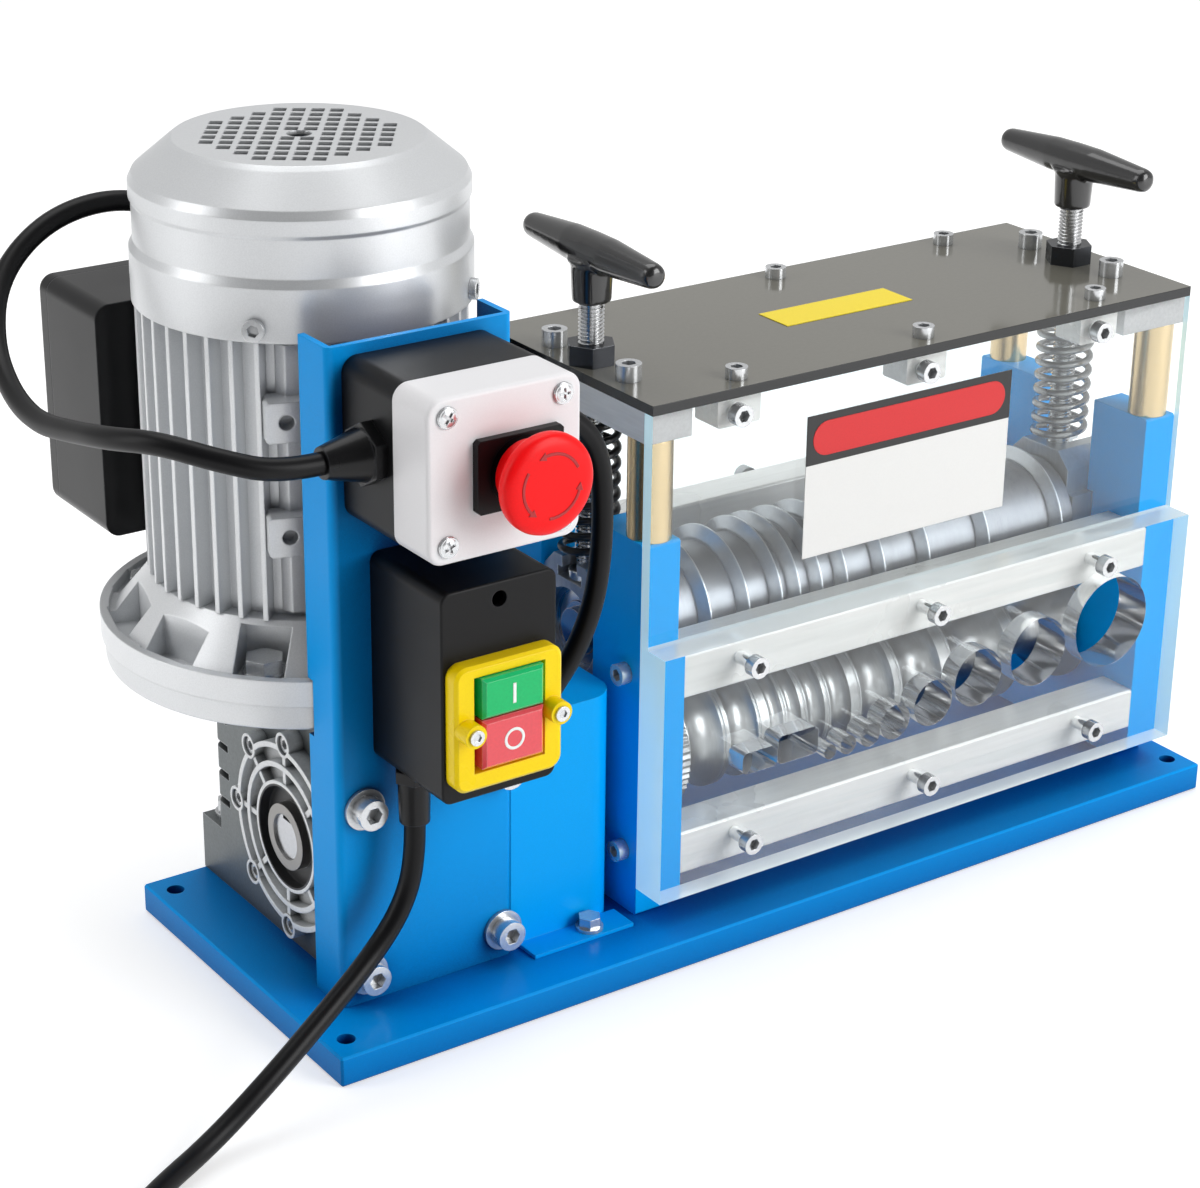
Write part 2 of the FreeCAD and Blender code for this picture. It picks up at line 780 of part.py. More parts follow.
def shaft_bearings():
    """Bearings of the lower roller in both stands, of the worm and of the motor's shaft."""
    inset = (stand_thick - lower_bearing_width) / 2
    found = [bearing((x + inset, roller_y, lower_axis_z), ALONG_X, lower_bearing_radius, lower_journal,
                     lower_bearing_width) for x in (left_outer_x, right_inner_x)]
    worm_core = worm_pitch_radius - tooth_dedendum
    places = [(worm_bottom_z, worm_core), (gearbox_top_z, worm_core), (shield_rim_z, motor_shaft_radius),
              (housing_top_z - upper_bearing_width, motor_shaft_radius)]
    for z, journal in places:
        found.append(bearing((drive_x, worm_y, z), ALONG_Z, worm_chamber_radius, journal,
                             upper_bearing_width))
    return group(found)


def gearbox_body():
    """The outer form of the gearbox casting."""
    x_range = (drive_x - gearbox_half_width, drive_x + gearbox_half_width)
    back_y = roller_y + gearbox_back
    body = rounded_box(x_range, (drive_front_y, back_y), (base_top, gearbox_top_z), gearbox_edge_radius,
                       ALONG_Z)
    foot = box(x_range, (back_y - gearbox_foot_back, back_y + gearbox_foot_back),
               (base_top, base_top + gearbox_foot_height))
    pads = [rod((screw.seat.x, drive_front_y, screw.seat.z), ALONG_Y, pad_depth, pad_radius)
            for screw in front_bolts]
    return fused([body, foot] + pads)


def gearbox_housing():
    """Cast housing, hollow for the worm wheel and the upright worm."""
    x_start = drive_x - gearbox_half_width
    wheel_room = rod((x_start, roller_y, lower_axis_z), ALONG_X, 2 * gearbox_half_width, wheel_chamber_radius)
    worm_room = rod((drive_x, worm_y, worm_bottom_z), ALONG_Z, gearbox_height, worm_chamber_radius)
    grooves = []
    for step in range(1, 6):
        z = base_top + gearbox_foot_height + step * cooling_groove_pitch
        for x in (x_start, x_start + 2 * gearbox_half_width - cooling_groove):
            grooves.append(box((x, x + cooling_groove),
                               (worm_y + worm_chamber_radius, roller_y + gearbox_back),
                               (z, z + cooling_groove)))
    housing = gearbox_body().cut([wheel_room, worm_room] + grooves)
    return without_screws(housing, front_bolts + gear_foot_bolts + cover_screws)


def gearbox_cover(side, thick):
    """Lobed cover with three rings and ribs between them, facing along X on one side."""
    axis = Vec(side, 0, 0)
    face_x = drive_x + side * gearbox_half_width
    centre = (face_x, roller_y, lower_axis_z)
    bore = wheel_hub_radius + running_gap
    spigot_radius = wheel_chamber_radius - hole_gap
    plate = [(bore, -cover_spigot), (spigot_radius, -cover_spigot), (spigot_radius, 0), (cover_radius, 0),
             (cover_radius, cover_floor), (bore, cover_floor)]
    shapes = [turned(plate, centre, axis)]
    for radius in (cover_radius, cover_middle_radius, cover_hub_radius):
        ring = [(radius - cover_rim, 0), (radius, 0), (radius, thick), (radius - cover_rim, thick)]
        shapes.append(turned(ring, centre, axis))
    recesses = []
    for dy, dz in around(cover_lugs, cover_lug_circle):
        place = Vec(face_x, roller_y + dy, lower_axis_z + dz)
        shapes.append(rod(place, axis, thick, cover_lug_radius))
        recesses.append(rod(place + axis * cover_seats[side], axis, cover_lug_recess, cover_lug_bore))
    rib = box(sorted((face_x + side, face_x + side * (thick - 0.5))),
              (roller_y - cover_rib_thick / 2, roller_y + cover_rib_thick / 2),
              (lower_axis_z + cover_hub_radius - 1, lower_axis_z + cover_radius - 1))
    for index in range(cover_lugs):
        shapes.append(turn_about(rib, centre, ALONG_X, 360.0 * index / cover_lugs))
    screws = [screw for screw in cover_screws if screw.axis.x == side]
    return without_screws(fused(shapes).cut(recesses), screws)


def gearbox_covers():
    """The covers on both sides of the gearbox."""
    return group([gearbox_cover(-1, outer_cover_thick), gearbox_cover(1, inner_cover_thick)])


def input_flange():
    """Round flange that carries the motor on the gearbox."""
    centre = (drive_x, worm_y, gearbox_top_z)
    neck = rod(centre, ALONG_Z, flange_neck_height, flange_neck_radius)
    disc = rod((drive_x, worm_y, flange_bottom_z), ALONG_Z, flange_thick, flange_radius - flange_inset)
    disc = disc.makeFillet(1.5, [edge for edge in disc.Edges
                                 if abs(edge.CenterOfMass.z - flange_bottom_z) < 0.01])
    bore = rod(centre, ALONG_Z, flange_neck_height + flange_thick, worm_chamber_radius)
    return without_screws(fused([neck, disc]).cut(bore), flange_bolts)


def motor_shield():
    """Flanged end shield: a cone with pockets between its ribs, inside a raised rim."""
    centre = (drive_x, worm_y, flange_top_z)
    profile = [(worm_chamber_radius, 0), (flange_radius, 0), (flange_radius, flange_thick),
               (flange_radius - flange_rim, flange_thick), (flange_radius - flange_rim, flange_thick - 2),
               (shield_cone_radius, flange_thick - 2), (motor_body_radius + 6, flange_thick + shield_height),
               (worm_chamber_radius, flange_thick + shield_height)]
    body = turned(profile, centre, ALONG_Z)
    pocket_end = flange_radius - flange_rim
    pocket_z = (flange_top_z + shield_pocket_floor, housing_bottom_z - 2)
    pocket = box((drive_x + shield_pocket_inner, drive_x + pocket_end), (worm_y - shield_pocket_width / 2,
                 worm_y + shield_pocket_width / 2), pocket_z)
    seat = box((drive_x + shield_pocket_inner - 9, drive_x + pocket_end), (worm_y - washer_radius - 1.5,
               worm_y + washer_radius + 1.5), (shield_rim_z - 4, housing_bottom_z - 2))
    cuts = []
    for index in range(shield_pockets):
        angle = 15 + 360.0 * index / shield_pockets
        shape = seat if index % 3 == 1 else pocket
        cuts.append(turn_about(shape, centre, ALONG_Z, angle))
    return without_screws(body.cut(cuts), flange_bolts)


def motor_pad(angle):
    """Foot pad on the motor housing with its threaded bosses."""
    centre = (drive_x, worm_y, housing_bottom_z)
    height = motor_body_height - 4
    shapes = [box((drive_x + motor_bore_radius + 1, drive_x + pad_reach - 6), (worm_y - pad_half_width,
                  worm_y + pad_half_width), (housing_bottom_z + 2, housing_bottom_z + 2 + height))]
    shapes[0] = shapes[0].makeChamfer(3.0, [edge for edge in edges_along(shapes[0], ALONG_Z)
                                            if edge.CenterOfMass.x > drive_x + pad_reach - 7])
    half = boss_size / 2
    for lift in boss_heights:
        z = housing_bottom_z + lift
        for side in (-1, 1):
            y = worm_y + side * (pad_half_width - 2)
            block = box((drive_x + motor_bore_radius + 1, drive_x + boss_reach - 3), (y - half, y + half),
                        (z - half, z + half))
            hole = rod((drive_x + boss_reach - 9, y, z), ALONG_X, 8, 2.8)
            shapes.append(block.makeChamfer(1.0, edges_along(block, ALONG_X)).cut(hole))
    return turn_about(fused(shapes), centre, ALONG_Z, angle)


def motor_housing():
    """Extruded housing with cooling fins all round and a foot pad on its front left and front right."""
    centre = (drive_x, worm_y, housing_bottom_z)
    shapes = [rod(centre, ALONG_Z, motor_body_height, motor_body_radius)]
    fin = box((drive_x + motor_body_radius - 1, drive_x + motor_fin_radius), (worm_y - motor_fin_thick / 2,
              worm_y + motor_fin_thick / 2), (housing_bottom_z, housing_top_z))
    pad_angles = (250.0, 340.0)
    for index in range(motor_fin_count):
        angle = 360.0 * index / motor_fin_count
        if all(abs(angle - pad) > 24 for pad in pad_angles):
            shapes.append(turn_about(fin, centre, ALONG_Z, angle))
    shapes.extend(motor_pad(angle) for angle in pad_angles)
    bore = rod(centre, ALONG_Z, motor_body_height - end_plate_thick, motor_bore_radius)
    eye = rod(centre, ALONG_Z, motor_body_height, worm_chamber_radius)
    return without_screws(fused(shapes).cut([bore, eye]), fan_cover_screws)


def motor_stator():
    """Laminated stator ring with the two ends of its winding."""
    bottom = housing_bottom_z + core_lift
    inner = rotor_radius + stator_gap
    core = ring((drive_x, worm_y, bottom), ALONG_Z, core_height, motor_bore_radius, inner)
    ends = [ring((drive_x, worm_y, z), ALONG_Z, winding_height, motor_bore_radius - 3, inner + 3)
            for z in (bottom - winding_height, bottom + core_height)]
    return group([core] + ends)


def fan_cover_profile(wall):
    """Outline of the fan cover from its open rim to its cap, inset by a wall."""
    outer = fan_cover_radius - wall
    top = fan_cover_height - wall
    middle = outer - fan_cover_step
    upper = middle + fan_cover_crease
    return [(outer, 0), (outer, 19.5), (middle, 22.5), (middle, 36.5), (upper, 38), (upper, 43.5),
            (upper - 1.5, 46.5), (fan_cover_cap_radius + 2 - wall, top - 1.5),
            (fan_cover_cap_radius - wall, top)]


def grille_holes():
    """Square holes in rows in the cap of the fan cover, round a larger hole in its middle."""
    floor_z = cover_top_z - 3 * fan_cover_wall
    half = grille_hole / 2
    count = int(grille_radius // grille_pitch) + 1
    holes = []
    for column in range(-count, count):
        for row in range(-count, count + 1):
            x = (column + 0.5) * grille_pitch
            y = row * grille_pitch
            distance = math.hypot(x, y)
            if grille_eye_radius + half < distance < grille_radius - half:
                holes.append(box((x - half, x + half), (y - half, y + half), (floor_z, cover_top_z)))
    grid = Part.makeCompound(holes)
    grid.rotate(Vec(0, 0, 0), ALONG_Z, grille_turn)
    grid.translate(Vec(drive_x, worm_y, 0))
    eye = rod((drive_x, worm_y, floor_z), ALONG_Z, 3 * fan_cover_wall, grille_eye_radius)
    return grid.Solids + [eye]


def fan_cover():
    """Pressed cover over the fan, stepped at the side and slotted on top."""
    centre = (drive_x, worm_y, housing_top_z)
    outer = turned([(0, 0)] + fan_cover_profile(0) + [(0, fan_cover_height)], centre, ALONG_Z)
    inner = turned([(0, 0)] + fan_cover_profile(fan_cover_wall) + [(0, fan_cover_height - fan_cover_wall)],
                   centre, ALONG_Z)
    return without_screws(outer.cut([inner] + grille_holes()), fan_cover_screws)


def terminal_shell(y_range, wall_y):
    """Box with rounded corners, open on the side of wall_y's second value."""
    outer = rounded_box(terminal_x, y_range, terminal_z, terminal_corner, ALONG_Y)
    inner_x = (terminal_x[0] + terminal_wall, terminal_x[1] - terminal_wall)
    inner_z = (terminal_z[0] + terminal_wall, terminal_z[1] - terminal_wall)
    return outer.cut(rounded_box(inner_x, wall_y, inner_z, terminal_corner - terminal_wall, ALONG_Y))


def screw_posts(screws, y_range, radius):
    """Round posts inside a box that take its cover screws."""
    return [rod((screw.seat.x, y_range[0], screw.seat.z), ALONG_Y, y_range[1] - y_range[0], radius)
            for screw in screws]


def terminal_box():
    """Box on the motor's back for its leads and capacitor."""
    y_range = (terminal_y[0], terminal_split_y)
    shell = terminal_shell(y_range, (terminal_y[0] + terminal_wall, terminal_split_y))
    middle_z = sum(terminal_z) / 2
    saddle = box((drive_x - saddle_half_width, drive_x + saddle_half_width), (worm_y, terminal_y[0]),
                 (middle_z - saddle_half_height, middle_z + saddle_half_height))
    saddle = saddle.cut(rod((drive_x, worm_y, terminal_z[0]), ALONG_Z, terminal_height,
                            motor_fin_radius + hole_gap))
    posts = screw_posts(lid_screws, (terminal_y[0] + terminal_wall / 2, terminal_split_y), 4.5)
    outer = rounded_box(terminal_x, y_range, terminal_z, terminal_corner, ALONG_Y)
    body = fused([shell, saddle] + [post.common(outer) for post in posts])
    return without_screws(body, lid_screws)


def terminal_box_lid():
    """Lid of the terminal box, on its far side."""
    y_range = (terminal_split_y, terminal_y[1])
    lid = rounded_box(terminal_x, y_range, terminal_z, terminal_corner, ALONG_Y)
    lid = lid.makeFillet(2.5, [edge for edge in lid.Edges if abs(edge.CenterOfMass.y - terminal_y[1]) < 0.01])
    return without_screws(lid, lid_screws)


def capacitor():
    """Run capacitor lying in the terminal box."""
    y = terminal_y[0] + terminal_wall + capacitor_radius
    z = terminal_z[0] + terminal_wall + capacitor_radius
    can = rod((drive_x - capacitor_length / 2, y, z), ALONG_X, capacitor_length, capacitor_radius)
    return can.makeFillet(2.0, can.Edges)


def folded_sheet():
    """The control bracket's sheet: a face with both sides folded back."""
    x_range = (drive_x + bracket_left, drive_x + bracket_left + bracket_sheet_width)
    y_range = (bracket_front_y, bracket_front_y + bracket_return)
    z_range = (base_top, base_top + bracket_sheet_height)
    outer = box(x_range, y_range, z_range)
    front = [edge for edge in edges_along(outer, ALONG_Z) if edge.CenterOfMass.y < bracket_front_y + 1]
    outer = outer.makeFillet(bracket_bend, front)
    inner = box((x_range[0] + sheet_thick, x_range[1] - sheet_thick),
                (bracket_front_y + sheet_thick, y_range[1]), z_range)
    return outer.cut(inner)


def control_bracket():
    """Folded bracket on the gearbox that carries both control boxes."""
    right = drive_x + bracket_left + bracket_sheet_width
    relief = box((right - sheet_thick - 1, right),
                 (bracket_front_y + sheet_thick, bracket_front_y + bracket_return),
                 (base_top, gearbox_top_z + 4))
    notch = rod((drive_x, worm_y, flange_bottom_z - 1), ALONG_Z, shield_rim_z - flange_bottom_z + 2,
                flange_radius + 1)
    return without_screws(folded_sheet().cut([relief, notch]), front_bolts)


def coupling_guard():
    """Folded cover over the shaft coupling, with a foot flange on the base."""
    x_range = (drive_x + bracket_left + bracket_sheet_width + guard_start_gap, left_outer_x - guard_gap)
    outer = box(x_range, (guard_front_y, guard_back_y), (base_top, base_top + guard_height))
    corners = [edge for edge in edges_along(outer, ALONG_Z) if edge.CenterOfMass.x > x_range[1] - 1]
    outer = outer.makeFillet(guard_bend, corners)
    inner_x = (x_range[0], x_range[1] - guard_sheet)
    inner = box(inner_x, (guard_front_y + guard_sheet, guard_back_y - guard_sheet),
                (base_top, base_top + guard_height - guard_sheet))
    inner_edges = [edge for edge in edges_along(inner, ALONG_Z) if edge.CenterOfMass.x > inner_x[1] - 1]
    inner = inner.makeFillet(guard_bend - guard_sheet, inner_edges)
    doorway = box((x_range[1] - guard_bend, x_range[1]), (roller_y - 24, roller_y + 24),
                  (base_top, lower_axis_z + 24))
    foot = box((x_range[0] + 3.5, x_range[1]), (foot_flange_front, guard_front_y + guard_sheet),
               (base_top, base_top + guard_sheet))
    foot = foot.cut(outer).fuse(box((x_range[0] + 3.5, x_range[1] - guard_bend),
                                    (guard_front_y, guard_front_y + guard_sheet),
                                    (base_top, base_top + guard_sheet)))
    return without_screws(fused([outer.cut([inner, doorway]), foot]), [foot_bolt])


def hollow_box(x_range, y_range, z_range, wall, corner, open_front):
    """Moulded half shell with rounded corners, open at its front or back."""
    outer = rounded_box(x_range, y_range, z_range, corner, ALONG_Y)
    inner_y = (y_range[0], y_range[1] - wall) if open_front else (y_range[0] + wall, y_range[1])
    inner = rounded_box((x_range[0] + wall, x_range[1] - wall), inner_y,
                        (z_range[0] + wall, z_range[1] - wall),
                        corner - wall / 2, ALONG_Y)
    return outer.cut(inner)


def gland_hole(mouth, axis, wall_at):
    """Hole in a box wall for a gland's neck."""
    return rod((wall_at, mouth[1], mouth[2]), axis, estop_wall, gland_neck_radius + hole_gap)


def estop_base():
    """Black back half of the emergency stop box."""
    y_range = (estop_split_y, bracket_front_y)
    shell = hollow_box(estop_x, y_range, estop_z, estop_wall, estop_corner, True)
    posts = screw_posts(estop_screws, (y_range[0], y_range[1] - estop_wall / 2), 3.6)
    holes = [gland_hole(motor_lead_route[-1], ALONG_X, estop_x[0]),
             gland_hole(link_lead_route[0], -ALONG_X, estop_x[1])]
    return without_screws(fused([shell] + posts).cut(holes), estop_screws)


def estop_cover():
    """Pale front half of the emergency stop box."""
    shell = hollow_box(estop_x, (estop_face_y, estop_split_y), estop_z, estop_wall, estop_corner, False)
    front = [edge for edge in shell.Edges if abs(edge.CenterOfMass.y - estop_face_y) < 0.01]
    shell = shell.makeFillet(1.5, front)
    posts = screw_posts(estop_screws, (estop_face_y + estop_wall / 2, estop_split_y), 3.6)
    neck = rod((estop_centre_x, estop_face_y, estop_centre_z), ALONG_Y, estop_wall,
               throat_radius + hole_gap)
    return without_screws(fused([shell] + posts).cut(neck), estop_screws)


def contact_blocks():
    """Bezel and contact block of the stop, and the switch block behind the two push buttons."""
    centre = (estop_centre_x, estop_face_y, estop_centre_z)
    plate = box((estop_centre_x - bezel_width / 2, estop_centre_x + bezel_width / 2),
                (estop_face_y - bezel_thick,
                estop_face_y), (estop_centre_z - bezel_height / 2, estop_centre_z + bezel_height / 2))
    plate = plate.makeChamfer(1.2, edges_along(plate, ALONG_Y))
    recess = rod((estop_centre_x, estop_face_y - bezel_thick, estop_centre_z), ALONG_Y, bezel_recess,
                 mushroom_neck_radius + bezel_clearance)
    throat = rod(centre, ALONG_Y, estop_wall, throat_radius)
    back_y = estop_face_y + estop_wall
    block = box((estop_centre_x - contact_width / 2, estop_centre_x + contact_width / 2),
                (back_y, back_y + contact_depth),
                (estop_centre_z - contact_height / 2, estop_centre_z + contact_height / 2))
    bore = rod((estop_centre_x, estop_face_y - bezel_thick, estop_centre_z), ALONG_Y,
               bezel_thick + estop_wall + 18, stem_radius + running_gap)
    estop_part = fused([plate, throat, block]).cut([recess, bore])
    rear_y = switch_face_y + button_length + button_travel + 1
    middle_z = sum(frame_z) / 2 - 2
    switch_part = box((frame_centre_x - 17, frame_centre_x + 17), (rear_y, bracket_front_y - switch_wall),
                      (middle_z - 20, middle_z + 20))
    return group([estop_part, switch_part])


def switch_box():
    """Black box of the push button switch."""
    shell = hollow_box(switch_x, (switch_face_y, bracket_front_y), switch_z, switch_wall, switch_corner,
                       False)
    edges = [edge for edge in shell.Edges if abs(edge.CenterOfMass.y - switch_face_y) < 0.01]
    shell = shell.makeFillet(0.8, edges)
    window = box((frame_centre_x - button_width / 2 - 1.5, frame_centre_x + button_width / 2 + 1.5),
                 (switch_face_y, switch_face_y + switch_wall),
                 (start_stop_z()[0][0] - 1.5, start_stop_z()[1][1] + 1.5))
    pilot = rod((frame_centre_x, switch_face_y, switch_z[1] - switch_pilot_below), ALONG_Y, switch_wall,
                switch_pilot_hole)
    back = box((switch_x[0] + switch_wall, switch_x[1] - switch_wall),
               (bracket_front_y - switch_wall, bracket_front_y),
               (switch_z[0] + switch_wall, switch_z[1] - switch_wall))
    mains = mains_lead_route[0]
    entry = rod((mains[0], mains[1], switch_z[0]), ALONG_Z, switch_wall, grommet_neck_radius + hole_gap)
    return without_screws(shell.cut([window, pilot, entry]).fuse(back), frame_screws)


def start_stop_z():
    """Height ranges of the stop button below and the start button above it."""
    bottom = frame_z[0] + stop_margin
    split = bottom + stop_height
    return (bottom, split), (split + button_gap, split + button_gap + start_height)


def switch_frame():
    """Yellow frame round the push buttons, with a screw boss on each side."""
    x_range = (frame_centre_x - frame_width / 2, frame_centre_x + frame_width / 2)
    y_range = (frame_face_y, switch_face_y)
    frame = rounded_box(x_range, y_range, frame_z, frame_corner, ALONG_Y)
    low, high = start_stop_z()
    half = button_width / 2 + frame_window_gap
    window = box((frame_centre_x - half, frame_centre_x + half), y_range,
                 (low[0] - frame_window_gap, high[1] + sliding_gap))
    bosses = [rod((screw.seat.x, frame_face_y - frame_boss_extra, screw.seat.z), ALONG_Y,
                  frame_thick + frame_boss_extra, frame_boss_radius) for screw in frame_screws]
    frame = frame.makeChamfer(1.2, [edge for edge in frame.Edges
                                    if abs(edge.CenterOfMass.y - frame_face_y) < 0.01])
    return without_screws(fused([frame] + bosses).cut(window), frame_screws)


def push_button(z_range):
    """One push button that slides in the frame's window."""
    front_y = frame_face_y - button_proud
    button = box((frame_centre_x - button_width / 2, frame_centre_x + button_width / 2),
                 (front_y, switch_face_y + button_length), z_range)
    return button.makeChamfer(button_edge, [edge for edge in button.Edges
                                            if abs(edge.CenterOfMass.y - front_y) < 0.01])


def start_button():
    """The upper push button."""
    return push_button(start_stop_z()[1])


def stop_button():
    """The lower push button."""
    return push_button(start_stop_z()[0])


mushroom_stand_off = bezel_thick - bezel_recess + estop_travel + mushroom_gap
mushroom_back_y = estop_face_y - mushroom_stand_off
mushroom_front_y = mushroom_back_y - mushroom_thick


def estop_stem():
    """Plunger of the emergency stop, from the mushroom into the contact block."""
    length = mushroom_stand_off + estop_wall + 12
    stem = rod((estop_centre_x, mushroom_back_y, estop_centre_z), ALONG_Y, length, stem_radius)
    pin = rod((estop_centre_x, mushroom_back_y - 6, estop_centre_z), ALONG_Y, 6, stem_radius - 2)
    return fused([stem, pin])


def estop_button():
    """Red mushroom head of the emergency stop, hollow for its plunger's pin."""
    profile = [(0, 0), (mushroom_radius - 4.5, 0), (mushroom_radius - 1.2, 0.9), (mushroom_radius, 2.6),
               (mushroom_radius, 4.8), (mushroom_radius - 1.4, 6.6), (mushroom_neck_radius, 7.8),
               (mushroom_neck_radius, mushroom_thick), (0, mushroom_thick)]
    head = turned(profile, (estop_centre_x, mushroom_front_y, estop_centre_z), ALONG_Y)
    pin_hole = rod((estop_centre_x, mushroom_back_y - 6 - running_gap, estop_centre_z), ALONG_Y,
                   6 + running_gap,
                   stem_radius - 2 + running_gap)
    return head.cut(pin_hole)


def arc_route(points):
    """Straight runs joined by tangent arcs, each as large as its two runs allow."""
    corners = [Vec(*point) for point in points]
    edges = []
    radii = []
    here = corners[0]
    for before, corner, after in zip(corners, corners[1:], corners[2:]):
        back = (before - corner).normalize()
        ahead = (after - corner).normalize()
        shorter = min((before - corner).Length, (after - corner).Length)
        half_turn = (math.pi - back.getAngle(ahead)) / 2
        tangent = 0.45 * shorter
        radii.append(tangent / math.tan(half_turn))
        start = corner + back * tangent
        end = corner + ahead * tangent
        bisector = (back + ahead).normalize()
        middle = corner + bisector * (radii[-1] / math.cos(half_turn) - radii[-1])
        edges.append(Part.LineSegment(here, start).toShape())
        edges.append(Part.Arc(start, middle, end).toShape())
        here = end
    edges.append(Part.LineSegment(here, corners[-1]).toShape())
    return Part.Wire(edges), radii


def tube_on(wire, diameter):
    """A round tube along a wire."""
    start = wire.Edges[0]
    circle = Part.makeCircle(diameter / 2, start.Vertexes[0].Point, start.tangentAt(start.FirstParameter))
    return wire.makePipeShell([Part.Wire(circle)], True, False)


def cord(name, points):
    """The tube of one lead, with its radii and volume printed for checking."""
    wire, radii = arc_route(points)
    tube = tube_on(wire, lead_diameter)
    expected = math.pi * lead_diameter ** 2 / 4 * wire.Length
    print(name, "length", round(wire.Length, 1), "radii", [round(radius, 1) for radius in radii],
          "volume ratio", round(tube.Volume / expected, 4))
    return tube


def biarc(start, start_way, end, end_way):
    """Two tangent arcs from one point and direction to another."""
    gap = end - start
    ways = start_way + end_way
    turn = 2 * (1 - start_way.dot(end_way))
    along = gap.dot(ways)
    reach = (math.sqrt(along * along + turn * gap.dot(gap)) - along) / turn
    joint = (start + end + (start_way - end_way) * reach) / 2
    return [tangent_arc(start, start_way, joint), tangent_arc(end, -end_way, joint)]


def tangent_arc(start, way, end):
    """The arc that leaves a start point in a given direction and reaches an end point."""
    chord = end - start
    chord_way = Vec(chord).normalize()
    side = way - chord_way * way.dot(chord_way)
    half_angle = math.atan2(side.Length, way.dot(chord_way))
    rise = chord.Length / 2 * math.tan(half_angle / 2)
    return Part.Arc(start, (start + end) / 2 + side.normalize() * rise, end).toShape()


def wound_edges(place, way, steps):
    """Smooth biarcs through points and directions that formulas give."""
    edges = []
    for index in range(steps):
        edges.extend(biarc(place(index), way(index), place(index + 1), way(index + 1)))
    return edges


def spring(x):
    """Round wire spring on one adjusting screw, between its block and its beam."""
    mean_radius = spring_outer_radius - spring_wire / 2
    bottom = block_top_z + sliding_gap + spring_wire / 2
    rise = beam_bottom_z - sliding_gap - spring_wire / 2 - bottom
    steps = int(spring_turns * 4)
    pitch = rise / spring_turns

    def place(index):
        angle = index * math.pi / 2
        return Vec(x + mean_radius * math.cos(angle), roller_y + mean_radius * math.sin(angle),
                   bottom + rise * index / steps)

    def way(index):
        angle = index * math.pi / 2
        flat = 2 * math.pi * mean_radius
        return Vec(-flat * math.sin(angle), flat * math.cos(angle), pitch).normalize()

    wire = Part.Wire(Part.__sortEdges__(wound_edges(place, way, steps)))
    print("spring least gap to itself", least_gap(wire, spring_wire, math.pi * mean_radius))
    return tube_on(wire, spring_wire)


def pressure_springs():
    """The springs that push both bearing blocks down."""
    return group([spring(left_screw_x), spring(right_screw_x)])


def motor_lead():
    """Lead from the terminal box round the motor into the emergency stop box."""
    return cord("motor lead", motor_lead_route)


def link_lead():
    """Short lead from the emergency stop box down to the switch box."""
    return cord("link lead", link_lead_route)


def mains_lead():
    """Free stretch of the mains lead, down from the switch box and along the floor."""
    return cord("mains lead", mains_lead_route)


def coil_outer_radius():
    """Radius of the coil's outer turn, on the cord's centre line."""
    return coil_inner_radius + coil_step * coil_turns / 2


def coil_frame():
    """Centre of the coil and the angle where the cord runs into it, winding anticlockwise."""
    start = Vec(*mains_lead_route[-1])
    ahead = (start - Vec(*mains_lead_route[-2])).normalize()
    start = start + ahead * lead_diameter
    centre = start + Vec(-ahead.y, ahead.x, 0) * coil_outer_radius()
    return centre, math.atan2(start.y - centre.y, start.x - centre.x), ahead


def coil_radius(index):
    """Radius at each quarter turn: the cord winds in on the floor and out again on top."""
    half = coil_turns * 2
    turn = index if index <= half else 2 * half - index
    return coil_outer_radius() - coil_step * turn / 4


def coil_climb(index):
    """Rise at each quarter turn: one layer in the half turn where the winding reverses."""
    half = coil_turns * 2
    return min(max((index - half + 1) / 2.0, 0.0), 1.0) * coil_step


def coil_place(index):
    """Point on the coil's centre line at one quarter turn."""
    centre, first_angle, _ = coil_frame()
    angle = first_angle + index * math.pi / 2
    outward = Vec(math.cos(angle), math.sin(angle), 0)
    return centre + outward * coil_radius(index) + ALONG_Z * coil_climb(index)


def coil_way(index):
    """Direction of the coil's centre line at one quarter turn, level at both ends."""
    steps = coil_turns * 4
    angle = coil_frame()[1] + index * math.pi / 2
    way = Vec(-math.sin(angle), math.cos(angle), 0) * coil_radius(index) * math.pi / 2
    if 0 < index < steps:
        inward = (coil_radius(index + 1) - coil_radius(index - 1)) / 2
        climb = (coil_climb(index + 1) - coil_climb(index - 1)) / 2
        way = way + Vec(math.cos(angle), math.sin(angle), 0) * inward + ALONG_Z * climb
    return way.normalize()


def least_gap(wire, diameter, apart):
    """Least gap of a wound tube to itself, measured between points that lie some way apart along it."""
    points = wire.discretize(Number=900)
    spacing = wire.Length / (len(points) - 1)
    skip = int(apart / spacing) + 1
    least = min(a.distanceToPoint(b) for i, a in enumerate(points) for b in points[i + skip:])
    return round(least - diameter, 2)


def mains_coil():
    """The put-away length of the mains lead, wound in two layers as one unbroken tube."""
    steps = coil_turns * 4
    start = Vec(*mains_lead_route[-1])
    end = coil_place(steps)
    turns = wound_edges(coil_place, coil_way, steps)
    lead_in = Part.LineSegment(start, coil_place(0)).toShape()
    tail = Part.LineSegment(end, coil_end()).toShape()
    wire = Part.Wire(Part.__sortEdges__([lead_in] + turns + [tail]))
    tube = tube_on(wire, lead_diameter)
    print("mains coil length", round(wire.Length, 1),
          "least gap to itself", least_gap(wire, lead_diameter, coil_inner_radius),
          "volume ratio", round(tube.Volume / (math.pi * lead_diameter ** 2 / 4 * wire.Length), 4))
    return tube


def coil_end():
    """Where the coil's tail meets the plug."""
    return coil_place(coil_turns * 4) + coil_frame()[2] * coil_tail


